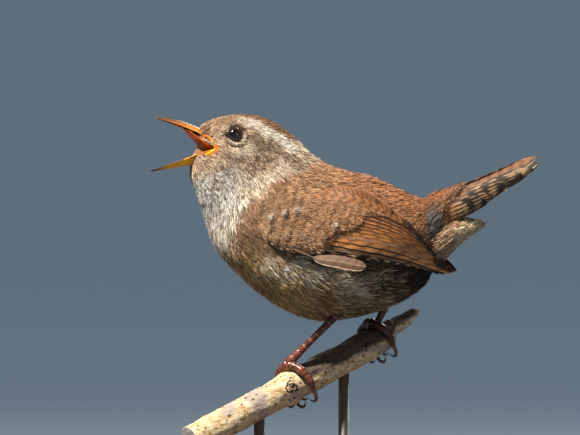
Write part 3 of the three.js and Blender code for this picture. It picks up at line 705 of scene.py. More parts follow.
def tuft_pattern(strands, thin):
    """One tuft in its own terms: strands that leave the root close together and spread like a
    brush. For each point: along (0 to 1), across (-1 to 1), which strand, and its ribbon's edge
    (-1, 1, or 0 at the point that it tapers to)."""
    q = np.linspace(-1, 1, strands)
    reach = 1 - 0.16 * q**2
    rows = ((0.0, 0.30, 0.85), (0.5, 0.72, 1.0))
    along = [np.repeat(a * reach, 2) for a, _, _ in rows] + [reach]
    across = [np.repeat(b * q, 2) for _, b, _ in rows] + [q]
    edge = [np.tile([-w, w], strands) for _, _, w in rows] + [0 * q]
    strand = [np.repeat(np.arange(strands), 2)] * 2 + [np.arange(strands)]
    along, across, edge, strand = (np.concatenate(k) for k in (along, across, edge, strand))
    a = 2 * np.arange(strands)
    b, c = a + 2 * strands, 4 * strands + np.arange(strands)
    faces = np.stack([a, a + 1, b + 1, a, b + 1, b, b, b + 1, c], -1).reshape(-1, 3)
    return along, across + edge * thin, edge * thin, strand, faces.astype(np.int32)


def scatter(u_range, v_range, count, seed, surface):
    """Even places on a surface: points drawn in its two parameters, kept in proportion to area."""
    r = np.random.default_rng(seed)
    u = r.uniform(*u_range, count * 6)
    v = r.uniform(*v_range, count * 6)
    du = (surface(u + STEP, v) - surface(u - STEP, v)) / (2 * STEP)
    dv = (surface(u, v + STEP) - surface(u, v - STEP)) / (2 * STEP)
    area = np.linalg.norm(np.cross(du, dv), axis=-1)
    keep = r.uniform(0, np.quantile(area, 0.98), len(u)) < area
    u, v = u[keep], v[keep]
    return u[:count], v[:count]


def frame_on(surface, u, v, depth):
    """Place, the two derivatives, the outward normal, and the unit directions rearwards and
    beside it on a surface that lies depth inside its outline."""
    here = surface(u, v, -depth)
    du = (surface(u + STEP, v, -depth) - surface(u - STEP, v, -depth)) / (2 * STEP)
    dv = (surface(u, v + STEP, -depth) - surface(u, v - STEP, -depth)) / (2 * STEP)
    normal = unit(np.cross(du, dv))
    normal *= np.sign(np.einsum("ij,ij->i", normal, here - surface(u, v, -depth - 0.5)))[:, None]
    rear = unit(du)
    return here, du, dv, normal, rear, np.cross(normal, rear)


def plumes(name, surface, u, v, heading, length, width, depth, lift, strands, colour, bake, seed,
           thin=0.16, loose=0.15, contrast=0.5):
    """Tufts on a surface. Each one's middle line is the parabola through the surface at its
    root, middle and tip; it rises from depth below the outline to lift above it. Each strand
    has its own length, roll about its line, lift and tone."""
    r = np.random.default_rng(seed)
    n = len(u)
    here, du, dv, normal, rear, beside = frame_on(surface, u, v, depth)
    aim = rear * np.cos(heading)[:, None] + beside * np.sin(heading)[:, None]
    guu, guv, gvv = (np.einsum("ij,ij->i", a, b) for a, b in ((du, du), (du, dv), (dv, dv)))
    au, av = np.einsum("ij,ij->i", aim, du), np.einsum("ij,ij->i", aim, dv)
    det = guu * gvv - guv**2
    su, sv = (gvv * au - guv * av) / det, (guu * av - guv * au) / det
    limit = np.minimum(1, 1.6 / np.maximum(np.abs(su) * length, 1e-6))
    su, sv = su * limit, sv * limit
    rise = lift * r.uniform(0.3, 1.5, n)
    half_way = surface(u + su * length / 2, v + sv * length / 2, -depth * 0.42 + rise * 0.6)
    end = surface(u + su * length, v + sv * length, rise)
    along, across, edge, strand, faces = tuft_pattern(strands, thin)
    longer = 1 + loose * r.normal(size=(n, strands))
    wander = loose * 1.4 * r.normal(size=(n, strands))
    roll = 0.55 * r.normal(size=(n, strands))
    raised = loose * 0.9 * np.abs(r.normal(size=(n, strands)))
    tone = 1 + contrast * (r.uniform(size=(n, strands)) - 0.5)
    tone = tone * (1 + 0.6 * contrast * (r.uniform(size=(n, 1)) - 0.5))
    s = along * longer[:, strand]
    t = across + wander[:, strand] * along**1.5
    line = here[:, None] + s[..., None] * (4 * half_way - 3 * here - end)[:, None]
    line = line + (s**2)[..., None] * (2 * here - 4 * half_way + 2 * end)[:, None]
    chord = unit(end - here)
    beside = unit(np.cross(normal, chord))
    over = np.cross(chord, beside)
    high = edge * roll[:, strand] + raised[:, strand] * along**2 - 0.12 * np.abs(across)
    half = (width / 2)[:, None]
    points = line + beside[:, None] * (t * half)[..., None] + over[:, None] * (high * half)[..., None]
    each = r.uniform(size=n)
    cu, cv = bake(u, v)
    patch = np.stack([cu[:, None] + TUFT_PATCH * 0.45 * across,
                      cv[:, None] + TUFT_PATCH * (along - 0.5)], -1)
    shade = colour(u[:, None], v[:, None], along[None], across[None], each[:, None])
    # Painted shade: each strand darkens towards the tuft's root, where the tufts around it cover it.
    shade = shade * (tone[:, strand] * (0.38 + 0.76 * smooth(along, 0.05, 0.8)))[..., None]
    index = faces[None] + (np.arange(n) * len(along))[:, None, None]
    return make_mesh(name, points.reshape(-1, 3), index.reshape(-1, 3),
                     paint=np.clip(shade, 0.003, 0.95).reshape(-1, 3), patches=patch.reshape(-1, 2))


def body_bake(u, v):
    """The skin's unwrap: ribs run across the sheet, and the way round runs up it."""
    return 0.02 + 0.96 * (u + 1) / 18, 0.02 + 0.94 * np.mod(v, 1)


def body_paint(u, v, s, t, r):
    """The plumage's colour for tufts whose roots are at u and v."""
    x, y, z = body_plain(u, v)
    return plumage(*np.broadcast_arrays(x, y, z, s, r))


def vanes(name, centre, side, normal, half, paint, notch=0.06, columns=11, seed=1, thick=0.10):
    """Long feathers as closed blades: centre lines (feathers, rows, 3) with a side and a normal
    direction, half widths (feathers, rows). Each cross section is a thin lens that droops at its
    edges. The two faces share their edge points. paint(feather, s, t) gives the colour."""
    r = np.random.default_rng(seed)
    count, rows = centre.shape[:2]
    t = np.linspace(-1, 1, columns)
    wear = 1 - notch * r.uniform(size=(count, rows, 2)) ** 3 * 2
    width = half[..., None] * np.where(t < 0, wear[..., :1], wear[..., 1:])
    s = np.broadcast_to(np.linspace(0, 1, rows)[None, :, None], (count, rows, columns))
    sweep = 0.55 * np.abs(t) ** 1.5 * half[..., None]
    forward = unit(np.gradient(centre, axis=1))
    camber = -0.18 * t**2 * half[..., None]
    body_of = thick * (1 - t**2)
    base = centre[:, :, None] + side[:, :, None] * (width * t)[..., None]
    base = base - forward[:, :, None] * (sweep * smooth(s, 0.75, 1.0) * 0.6)[..., None]
    upper = base + normal[:, :, None] * (camber + body_of)[..., None]
    lower = base + normal[:, :, None] * (camber - body_of * 0.4)[..., None]
    points, faces, colours, patches, start = [], [], [], [], 0
    quads = grid_faces(rows, columns)
    f = np.arange(count)[:, None, None] + np.zeros(s.shape)
    tint = paint(f, s, t + np.zeros(s.shape))
    cell = np.stack([(f + 0.5 + 0.45 * t) / count, 0.02 + 0.96 * s], -1)
    rim = np.concatenate([
        np.arange(columns), np.arange(2, rows) * columns - 1,
        (rows - 1) * columns + np.arange(columns)[::-1], np.arange(rows - 2, 0, -1) * columns])
    after = np.roll(rim, -1)
    size = rows * columns
    wall = np.stack([after, rim, rim + size, after + size], -1)
    closed = np.concatenate([quads, quads[:, ::-1] + size, wall])
    for k in range(count):
        blade = np.concatenate([upper[k].reshape(-1, 3), lower[k].reshape(-1, 3)])
        points.append(blade)
        faces.append(outward(blade, [closed])[0] + start)
        colours += [tint[k].reshape(-1, 3)] * 2
        patches += [cell[k].reshape(-1, 2)] * 2
        start += 2 * size
    return make_mesh(name, np.concatenate(points), np.concatenate(faces), paint=np.concatenate(colours),
                     patches=np.concatenate(patches))


# Pieces

def coat_depth(u, v):
    """How far the skin lies inside the outline: thin on the face, thick on breast and back."""
    return 0.45 + 0.95 * smooth(np.asarray(u, float), 2.5, 8.5) + 0 * v


def mouth_lines(x):
    """Heights of the roof and the floor of the mouth's wedge at x."""
    ahead = MOUTH_CORNER[0] - x
    roof = (MOUTH_UPPER[1] - MOUTH_CORNER[1]) / (MOUTH_CORNER[0] - MOUTH_UPPER[0])
    floor = (MOUTH_CORNER[1] - MOUTH_LOWER[1]) / (MOUTH_CORNER[0] - MOUTH_LOWER[0])
    return MOUTH_CORNER[1] + ahead * roof, MOUTH_CORNER[1] - ahead * floor


def in_mouth(x, z, margin=0.0):
    """How deep in the mouth's wedge a place is: 0 at its faces and outside, 1 halfway between."""
    high, low = mouth_lines(x)
    share = np.clip((z - low + margin) / np.maximum(high - low + 2 * margin, 1e-6), 0, 1)
    return np.where(x < MOUTH_CORNER[0], 1 - np.abs(2 * share - 1), 0)


def build_skin():
    """The body's outline less the coat's depth. What lies in the mouth's wedge is folded back
    onto its roof and floor. The tail's root, the vent's bulge and the thighs are joined to it."""
    u, v = np.meshgrid(np.linspace(0, 16, 161), np.arange(112) / 112, indexing="ij")
    x, y, z = body_plain(u, v, -coat_depth(u, v))
    high, low = mouth_lines(x)
    deep = in_mouth(x, z)
    folded_x = x + (MOUTH_CORNER[0] - x) * deep
    roof, floor = mouth_lines(folded_x)
    z = np.where(deep > 0, np.where(z > (high + low) / 2, roof, floor), z)
    rings = turn_head(folded_x, y * (1 - 0.12 * deep), z, 1 - smooth(u, *HEAD_TURN))
    paint = plumage(x, y, z, np.full(u.shape, 0.25), np.full(u.shape, 0.5))
    # Painted shade: the skin folded into the mouth is darkened to a dark orange-brown.
    paint = mix(paint, srgb(104, 42, 6), smooth(deep, 0.01, 0.06))
    paint = mix(paint, srgb(196, 108, 24), near_line(x, z, GAPE[:, :2], 1.1))
    parts, paints = [closed_loft(rings)], [end_means(paint)]
    bakes = [np.concatenate([np.stack(body_bake(u, v), -1).reshape(-1, 2), [[0.07, 0.5], [0.93, 0.5]]])]
    a, b = np.meshgrid(np.linspace(0.2, 3.9, 40), np.arange(40) / 40, indexing="ij")
    # The tail's root skin is RUFOUS * 0.7: a darker copy, painted shade in the gaps between the tufts.
    joined = [(surface(a, b, -0.7 * (1 - a / 5)), colour)
              for surface, colour in ((tail_root, RUFOUS * 0.7), (under_tail, DOWN))]
    s = np.linspace(0, 1, 24)
    for leg in LEGS.values():
        knee, heel = (np.array(leg[k]) + [0, 0, AXIS_HEIGHT] for k in ("knee", "heel"))
        path = knee + (heel - knee) * s[:, None]
        # The thighs are GREY_BROWN * 0.6: a darker copy, painted shade under the body and between the tufts.
        joined.append((tube_rings(path, spline([[2.2], [1.9], [0.85]], 2 * s)[:, 0], 24), GREY_BROWN * 0.6))
    for rings, colour in joined:
        parts.append(closed_loft(rings))
        paints.append(np.broadcast_to(colour, parts[-1][0].shape))
        bakes.append(np.full((len(parts[-1][0]), 2), 0.985))
    parts = [(p, outward(p, f)) for p, f in parts]
    points, faces = join(parts)
    skin = make_mesh("skin", points, faces, paint=np.concatenate(paints), patches=np.concatenate(bakes))
    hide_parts("head", "neck", "trunk", "thigh_left", "thigh_right", "tail_root_coverts",
                "undertail_coverts")
    return skin


def under_wing(u, v):
    """Where the body is covered by a folded wing: inside the wing's outline, away from its edges."""
    x, _, z = body_plain(u, v)
    tops, bottoms = WING[:, :2], WING[:, 2:]
    high = np.interp(x, tops[:, 0], tops[:, 1])
    low = np.interp(x, bottoms[:, 0], bottoms[:, 1])
    side = np.abs(np.sin(2 * np.pi * v)) > 0.4
    return side & (x > -2) & (x < 24) & (z < high - 2.6) & (z > low + 2.6)


def feather_number(f, times, shift=0.0):
    """A fixed number from 0 to 1 for each feather: the fraction of a long multiple of a sine."""
    number = np.sin(f * times + shift) * 43758.5453
    return number - np.floor(number)


def eye_place(side, ahead=0.0, out=0.0, up=0.0):
    """The middle of an eye, or a place that far from it, with the head turned."""
    return turn_head(np.array(EYE["x"] - ahead), np.array(side * (EYE["out"] + out)), np.array(EYE["z"] + up))


def keep_places(u, v, keep):
    """The places for which keep is true."""
    return u[keep], v[keep]


def near_eye(u, v):
    """Distance from the eye's middle in the side view."""
    x, _, z = body_plain(u, v)
    return np.hypot(x - EYE["x"], z - EYE["z"])


def round_eye(u, v):
    """Headings of the tufts near the eye: those ahead of it part and run round it."""
    x, _, z = body_plain(u, v)
    dx, dz = x - EYE["x"], z - EYE["z"]
    near = (1 - smooth(np.hypot(dx, dz), 2.4, 4.4)) * smooth(-dx, -0.6, 1.0)
    return near * np.where(dz > 0, 1, -1) * 1.1


def build_eye_ring():
    """Very short feathers that stand out all round each eye, pale below and behind it."""
    u, v = scatter((1.2, 4.6), (0, 1), 60000, 29, body)
    away = near_eye(u, v)
    u, v = keep_places(u, v, (away > 1.66) & (away < 2.02))
    x, _, z = body_plain(u, v)
    middle = np.where((np.mod(v, 1) < 0.5)[:, None], eye_place(RIGHT), eye_place(LEFT))
    here, _, _, _, rear, beside = frame_on(body, u, v, 0.3 + 0 * u)
    out = here - middle
    heading = np.arctan2(np.einsum("ij,ij->i", out, beside), np.einsum("ij,ij->i", out, rear))
    r = np.random.default_rng(129)

    def paint(u, v, s, t, r):
        x, _, z = body_plain(u, v)
        low = smooth(-(z - EYE["z"]) + 0.25 * (x - EYE["x"]), -0.7, 0.6)
        c = mix(srgb(112, 86, 66), CREAM, 0.9 * low)
        return c * (1 - 0.7 * smooth(r, 0.55, 0.65) + 0 * s)[..., None]

    return plumes("coat_eye_ring", body, u, v, heading, r.uniform(0.4, 0.75, len(u)),
                  0.26 + 0 * u, 0.34 + 0 * u, 0.14, 3, paint, body_bake, 30,
                  thin=0.3, loose=0.15, contrast=0.9)


def build_coat():
    """Regions of small feathers, longer and wider from the face to the belly."""
    pieces = []
    regions = (
        # name, ribs, way round, count, length at both ends, width at both ends, seed
        ("coat_crown", (0.15, 5.3), (-0.25, 0.25), 7000, (0.9, 2.0), (0.55, 1.0), 21),
        ("coat_throat", (0.15, 5.3), (0.25, 0.75), 8500, (1.0, 2.3), (0.55, 1.1), 22),
        ("coat_neck", (5.2, 9.0), (-0.22, 0.22), 5200, (2.0, 2.8), (1.0, 1.3), 23),
        ("coat_breast", (5.2, 9.2), (0.22, 0.78), 8200, (2.3, 3.4), (1.1, 1.5), 24),
        ("coat_back", (8.9, 15.6), (-0.24, 0.24), 6500, (2.8, 3.6), (1.3, 1.6), 25),
        ("coat_belly", (9.1, 12.6), (0.22, 0.78), 8600, (3.4, 4.0), (1.5, 1.8), 26),
        ("coat_flanks", (12.5, 15.95), (0.22, 0.78), 6500, (3.8, 4.2), (1.7, 1.8), 27),
    )
    for name, us, vs, count, lengths, widths, seed in regions:
        u, v = scatter(us, vs, count, seed, body)
        x, _, z = body_plain(u, v)
        clear = 1.95 + 0.45 * smooth(EYE["x"] - x, 0.0, 1.2)
        keep = ~under_wing(u, v) & (in_mouth(x, z, 0.25) <= 0) & (near_eye(u, v) > clear)
        keep &= near_line(x, z, GAPE[:, :2], 0.6) < 0.3
        u, v = keep_places(u, v, keep)
        r = np.random.default_rng(seed + 100)
        f = (u - us[0]) / (us[1] - us[0])
        length = (lengths[0] + (lengths[1] - lengths[0]) * f) * r.uniform(0.75, 1.25, len(u))
        width = (widths[0] + (widths[1] - widths[0]) * f) * r.uniform(0.8, 1.2, len(u))
        fluffy = smooth(u, 5, 12) * smooth(0.5 - np.abs(np.mod(v, 1) - 0.5), 0.2, 0.4)
        drift = 0.35 * (waves(body(u, v), 2.6, seed) - 0.5)
        heading = drift + r.normal(0, 0.14 + 0.12 * fluffy, len(u)) + round_eye(u, v)
        spiky = smooth(-np.cos(2 * np.pi * v), 0.3, 0.9) * (1 - smooth(u, 5.5, 9)) * smooth(u, 0.4, 1.2)
        pieces.append(plumes(name, body, u, v, heading, length, width, coat_depth(u, v) + 0.1,
                             0.08 + 0.25 * fluffy + 0.30 * spiky, 7, body_paint, body_bake, seed,
                             loose=0.13 + 0.08 * seed / 27, contrast=1.25))
    return pieces


def tail_paint(top, under):
    """One colour above and one below, barred, with white tips that grow towards the end."""
    def paint(u, v, s, t, r):
        u, v, s, r = np.broadcast_arrays(u, v, s, r)
        low = 0.5 - 0.5 * np.cos(2 * np.pi * v)
        below = mix(under, srgb(150, 100, 60), (under is DOWN) * smooth(u + 0.5 * r, 0.9, 1.6))
        c = mix(top, below, smooth(low, 0.12, 0.42))
        bars = stripes(1.7 * s + 0.5 * r + 0.4 * u, 0.2, 0.6)
        c = mix(c, DARK, 0.5 * bars * smooth(r, 0.2, 0.6))
        root = 1 - smooth(u + 1.2 * (r - 0.5), 0.8, 1.8)
        c = mix(c, srgb(120, 76, 44), 0.6 * root * (under is not DOWN))
        tips = smooth(s, 0.55, 0.9) * (r > 0.45) * low * (0.35 + 0.65 * smooth(u, 1.5, 3.4))
        return mix(c, WHITE, 0.85 * tips)
    return paint


def build_tail_coat():
    """Looser, longer feathers over the tail's root and under the tail, raised on their undersides."""
    pieces = []
    for name, surface, last, count, top, under, seed in (
        ("coat_tail_root", tail_root, 3.7, 4600, BACK, DOWN, 31),
        ("coat_under_tail", under_tail, 3.6, 4600, srgb(186, 146, 108), srgb(240, 208, 168), 32),
    ):
        u, v = scatter((0.05, last), (0, 1), count, seed, surface)
        r = np.random.default_rng(seed + 100)
        length = r.uniform(1.7, 3.6, len(u)) * (1.1 - 0.1 * u)
        corner = (0.04, 0.955) if surface is tail_root else (0.5, 0.955)

        def bake(a, b, corner=corner, last=last):
            return corner[0] + 0.42 * a / last, corner[1] + 0.04 * np.mod(b, 1)

        pieces.append(plumes(name, surface, u, v, r.normal(0, 0.16, len(u)), length,
                             0.36 * length, 0.8 + 0 * u,
                             0.05 + 0.6 * smooth(np.cos(2 * np.pi * v), 0.9, -0.4), 5,
                             tail_paint(top, under), bake, seed, thin=0.2, loose=0.22, contrast=1.1))
    return pieces


SHOULDER_TUFTS = 7900


def wing_at(side):
    """The wing's outer face for small feathers: it sinks into the body at the front and above."""
    def surface(a, d, out=0.0):
        sunk = 2.3 * (1 - smooth(a, 0.0, 0.22)) + 1.1 * (1 - smooth(d, 0.0, 0.2))
        return wing(side, a, d, out + WING_STANDS_OUT - sunk)
    return surface


def scale_rows(x, z):
    """How dark and how pale a place is in rows of overlapping scales in the side view."""
    p = np.stack([x, z], -1)
    row = (0.94 * x - 0.34 * z) / 1.75 + 0.5 * waves(p, 0.9, 13)
    beside = (0.34 * x + 0.94 * z) / 1.9 + 0.5 * np.floor(row) + 0.3 * waves(p, 0.8, 14)
    round_tip = row - np.floor(row) + 0.9 * (beside - np.floor(beside) - 0.5) ** 2
    dark = smooth(round_tip, 0.42, 0.6) * smooth(-round_tip, -0.85, -0.78)
    return dark, smooth(round_tip, 0.82, 0.92)


def shoulder_paint(u, v, s, t, r):
    """The body's own colours, rufous to the rear, with rows of dark and pale scales, a pale lower
    edge, and a few white spots, each with a painted shadow, a dark spot, below it."""
    u, v, s = np.broadcast_arrays(u, v, s)
    rib = spline(WING, np.clip(u, 0, 1) * 8)
    x = rib[..., 0] + (rib[..., 2] - rib[..., 0]) * v
    z = rib[..., 1] + (rib[..., 3] - rib[..., 1]) * v
    c = mix(MANTLE, srgb(160, 104, 64), smooth(x - z, -4, 12))
    c = mix(c, srgb(150, 120, 92), 0.6 * (1 - smooth(x - 0.6 * z, -9, -2)))
    c = mix(c, GREY_BROWN, 0.5 * (1 - smooth(x, -9, -3)) * smooth(-z, -0.5, 3.0))
    c = mix(c, DARK, 0.42 * (1 - smooth(s, 0.35, 0.65)))
    c = mix(c, srgb(214, 174, 136), 0.34 * smooth(s, 0.7, 0.9))
    dark, pale = scale_rows(x, z)
    c = mix(c, srgb(62, 38, 24), 0.75 * dark * smooth(x + 0.4 * z, -9, -2))
    c = mix(c, srgb(222, 178, 138), 0.4 * pale * smooth(x, -9, -3))
    edge = smooth(v, 0.6, 0.8) * (1 - smooth(x, 3, 7))
    c = mix(c, mix(srgb(206, 166, 132), srgb(70, 44, 30), dark), 0.7 * edge)
    white = sum(spot(x, z, at, 0.5) for at in ((-7.8, 0.3), (-5.3, 1.1), (-2.7, 1.9), (5.1, -1.0)))
    # Painted shadow: a dark spot below and behind each white spot.
    shade = sum(spot(x, z, at, 0.8) for at in ((-7.4, -0.5), (-4.9, 0.3), (-2.3, 1.1), (5.5, -1.8)))
    c = mix(c, DARK, 0.8 * np.clip(shade, 0, 1))
    c = mix(c, WHITE, np.clip(1.5 * white, 0, 1) * smooth(s, 0.1, 0.4))
    return c


def wing_bake(side):
    """A strip of the OFBake map for each wing, from its front to its tip."""
    def bake(a, d):
        return 0.02 + 0.46 * a + (0.5 if side == RIGHT else 0), 0.905 + 0.04 * d
    return bake


def build_shoulder(side, name):
    """Small feathers over the front of the wing, which reach furthest back along its upper edge."""
    r = np.random.default_rng(41 + side)
    u, v = scatter((0.0, 0.8), (0.0, 0.98), 20000, 40 + side, wing_at(side))
    limit = 0.34 + 0.12 * smooth(-v, -0.7, -0.4) + 0.10 * smooth(-v, -0.3, -0.12)
    u, v = keep_places(u, v, u < limit)
    u, v = u[:SHOULDER_TUFTS], v[:SHOULDER_TUFTS]
    length = (1.5 + 1.3 * smooth(u, 0.0, 0.3)) * r.uniform(0.8, 1.2, len(u))
    sink = 1.0 * smooth(u, 0.05, 0.2) * smooth(v, 0.05, 0.2)
    heading = r.normal(-0.1, 0.14, len(u))
    return plumes("coat_shoulder_" + name, wing_at(side), u, v, heading,
                  length, 0.56 * length, 0.35 + sink, 0.16, 7, shoulder_paint, wing_bake(side), 43 + side,
                  thin=0.19, loose=0.09, contrast=0.9)


# The folded flight feathers, from the lowest to the uppermost: the outer edge's start and end
# as shares along and down the wing, and the half width.
FLIGHT = np.array([
    [0.26, 0.99, 0.80, 1.00, 1.5],
    [0.26, 0.96, 0.90, 0.98, 1.7],
    [0.27, 0.93, 0.97, 0.94, 1.8],
    [0.27, 0.89, 1.00, 0.88, 1.9],
    [0.28, 0.84, 1.00, 0.74, 1.9],
    [0.28, 0.79, 0.985, 0.67, 1.9],
    [0.28, 0.74, 0.97, 0.61, 1.9],
    [0.29, 0.69, 0.95, 0.56, 1.9],
    [0.29, 0.64, 0.93, 0.51, 1.9],
    [0.30, 0.59, 0.91, 0.47, 1.9],
    [0.31, 0.53, 0.88, 0.43, 2.0],
    [0.32, 0.47, 0.84, 0.39, 2.1],
    [0.33, 0.41, 0.79, 0.35, 2.2],
    [0.33, 0.34, 0.73, 0.30, 2.2],
    [0.34, 0.27, 0.66, 0.24, 2.2],
    [0.35, 0.20, 0.58, 0.19, 2.1],
])
COVERTS = np.array([
    [0.20, 0.97, 0.40, 0.99, 1.0],
    [0.20, 0.90, 0.41, 0.93, 1.1],
    [0.20, 0.82, 0.42, 0.86, 1.2],
    [0.20, 0.74, 0.43, 0.79, 1.2],
    [0.21, 0.66, 0.44, 0.72, 1.2],
    [0.22, 0.58, 0.45, 0.65, 1.2],
    [0.23, 0.50, 0.47, 0.57, 1.3],
    [0.25, 0.42, 0.49, 0.49, 1.3],
    [0.27, 0.34, 0.51, 0.41, 1.4],
    [0.30, 0.26, 0.55, 0.33, 1.5],
    [0.34, 0.18, 0.60, 0.25, 1.5],
])


def on_wing(side, table, rows, out, tilt, blunt):
    """Centre lines, sides, normals and half widths of feathers that lie on the wing: the outer
    edge runs straight from start to end, and the middle lies a half width above it."""
    s = np.linspace(0, 1, rows)
    a = table[:, :1] + (table[:, 2:3] - table[:, :1]) * s
    d = table[:, 1:2] + (table[:, 3:4] - table[:, 1:2]) * s
    edge = wing(side, a, d)
    e = 0.02
    ahead, level = np.minimum(a, 0.88), 0.5 + 0.6 * (d - 0.5)
    du = unit(wing(side, ahead + e, level) - wing(side, ahead - e, level))
    dv = unit(wing(side, ahead, level + e) - wing(side, ahead, level - e))
    normal = unit(np.cross(du, dv))
    normal = normal * np.sign(normal[..., 1:2] * side)
    down = unit(dv - du * np.einsum("ijk,ijk->ij", du, dv)[..., None])
    shape = np.sqrt(np.clip(1 - (2 * np.clip(s, 0.5, 1) - 1) ** blunt, 0.02, 1))
    half = table[:, 4:5] * (shape * (0.55 + 0.45 * smooth(s, 0, 0.3)))
    layer = out + 0.045 * np.arange(len(table))[:, None, None]
    centre = edge - down * (table[:, 4:5] * 0.92)[..., None] + normal * layer
    lifted = unit(down + tilt * normal)
    return centre, lifted, normal, half


def flight_paint(f, s, t):
    """Rufous outer webs crossed by dark bars, dark inner webs, and a dark rim of painted shadow
    with a pale line within it. The lowest feathers are dark with cream dashes, one is pinkish
    along its length, and the uppermost have chevrons and a dark band before the tip."""
    r = feather_number(f, 12.9898)
    bars = stripes(s * (8.5 + 2 * r) + 0.5 * t + r, 0.1, 0.6)
    outer = smooth(t, 0.1, 0.5)
    c = mix(srgb(46, 30, 20), srgb(214, 140, 78), outer)
    c = mix(c, srgb(88, 50, 26), bars * 0.6)
    low = 1 - smooth(f, 1.2, 2.6)
    c = mix(c, srgb(232, 172, 116), 0.7 * smooth(t, 0.60, 0.70) * (1 - 0.6 * bars))
    # Painted shadow: a near-black line along each feather's lower edge.
    c = mix(c, srgb(12, 7, 4), smooth(t, 0.74, 0.83) * (1 - low))
    dashes = stripes(s * 10 + 0.6 * r + 0.4 * np.sin(9 * s), 0.3, 0.7)
    c = mix(c, mix(srgb(40, 26, 17), srgb(188, 156, 118), dashes * smooth(t, 0.6, 0.8)), low)
    long = (1 - smooth(np.abs(f - 5.0), 0.3, 0.6)) * smooth(t, 0.3, 0.6)
    c = mix(c, PINK_BROWN, 0.8 * long)
    tertial = smooth(f, 12.4, 12.6)
    c = mix(c, srgb(142, 92, 54), 0.85 * tertial)
    chevrons = stripes(s * 12 + 0.9 * np.abs(t) + r, 0.0, 0.6)
    c = mix(c, srgb(58, 34, 20), 0.65 * tertial * chevrons * smooth(0.8 - np.abs(t), 0.0, 0.2))
    c = mix(c, DARK, 0.8 * tertial * smooth(s, 0.88, 0.94) * (1 - smooth(s, 0.965, 0.985)))
    return c * (0.88 + 0.24 * r)[..., None]


def covert_paint(f, s, t):
    """Brown with dark chevrons, a pale outer line, a dark rim of painted shadow and a paler tip."""
    r = feather_number(f, 78.233, 1.7)
    bars = stripes(s * 7 + 0.8 * np.abs(t) + r, 0.0, 0.6)
    c = mix(srgb(150, 100, 62), srgb(58, 36, 22), 0.7 * bars)
    c = mix(c, srgb(196, 152, 112), 0.5 * smooth(t, 0.6, 0.72))
    # Painted shadow: a dark line along each covert's lower edge.
    c = mix(c, DARK, 0.8 * smooth(t, 0.80, 0.92))
    c = mix(c, srgb(176, 128, 88), 0.5 * smooth(s, 0.92, 0.97))
    return c * (0.85 + 0.3 * r)[..., None]


def build_wing(side, name):
    """The flight feathers, the coverts over their roots, and a thin dark body beneath them, which
    paints the shade in the gaps between the feathers.
    """
    flight = vanes("wing_%s_flight_feathers" % name, *on_wing(side, FLIGHT, 60, 0.05, 0.09, 3.0),
                   flight_paint, columns=23, seed=51 + side)
    coverts = vanes("wing_%s_greater_coverts" % name, *on_wing(side, COVERTS, 40, 0.42, 0.09, 5.0),
                    covert_paint, columns=19, seed=53 + side)
    # A thin dark body under the feathers: painted shade, seen through the gaps between them.
    a, d = np.meshgrid(np.linspace(0.24, 0.93, 60), np.linspace(0.3, 0.93, 24), indexing="ij")
    top, bottom = wing(side, a, d, -0.15), wing(side, a, d, -0.9)
    rings = np.concatenate([top, bottom[:, ::-1]], 1)
    base = lofted("wing_%s_base" % name, rings, end_means(np.broadcast_to(srgb(52, 36, 26), rings.shape)))
    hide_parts("wing_%s_secondaries" % name, "wing_%s_primaries" % name)
    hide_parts("wing_%s_coverts" % name)
    return [flight, coverts, base] + ([build_loose_feather()] if side == LEFT else [])


# The middle line of the feather that hangs below the left wing: x, y and z.
LOOSE_FEATHER = np.array([
    [-2.7, -15.6, -6.3], [0.8, -16.8, -7.9], [4.0, -17.5, -9.1],
    [8.5, -17.9, -9.7], [12.0, -17.8, -10.4], [14.6, -17.4, -10.9],
])


def build_loose_feather():
    """One pinkish feather that hangs loose below the wing's edge: a thin stalk, then a leaf."""
    s = np.linspace(0, 1, 60)
    line = spline(LOOSE_FEATHER, (len(LOOSE_FEATHER) - 1) * s) + [0, 0, AXIS_HEIGHT]
    forward = unit(np.gradient(line, axis=0))
    normal = unit(np.array([0.05, -1.0, 0.25]) + 0 * line)
    beside = unit(np.cross(forward, normal))
    beside *= -np.sign(beside[:, 2:3])
    leaf = np.clip(1 - np.abs((s - 0.68) / 0.33) ** 2.4, 0, 1) ** 0.55
    half = 0.14 + 1.35 * leaf

    def paint(f, s, t):
        c = mix(srgb(118, 90, 72), srgb(200, 174, 148), smooth(t, 0.82, 0.94))
        c = mix(c, srgb(176, 148, 126), 0.6 * (1 - smooth(np.abs(t), 0.05, 0.12)))
        return mix(c, DARK, 0.3 * stripes(9 * s + 0.4 * t, 0.3, 0.9))

    return vanes("wing_left_loose_feather", line[None], beside[None], normal[None], half[None],
                 paint, seed=57)


# Tips of the tail's feathers in the side view, from the middle pair outwards.
TAIL_TIPS = ((52.6, 13.5), (53.0, 12.1), (51.6, 11.0), (49.2, 9.7), (46.0, 7.7), (42.6, 5.0))


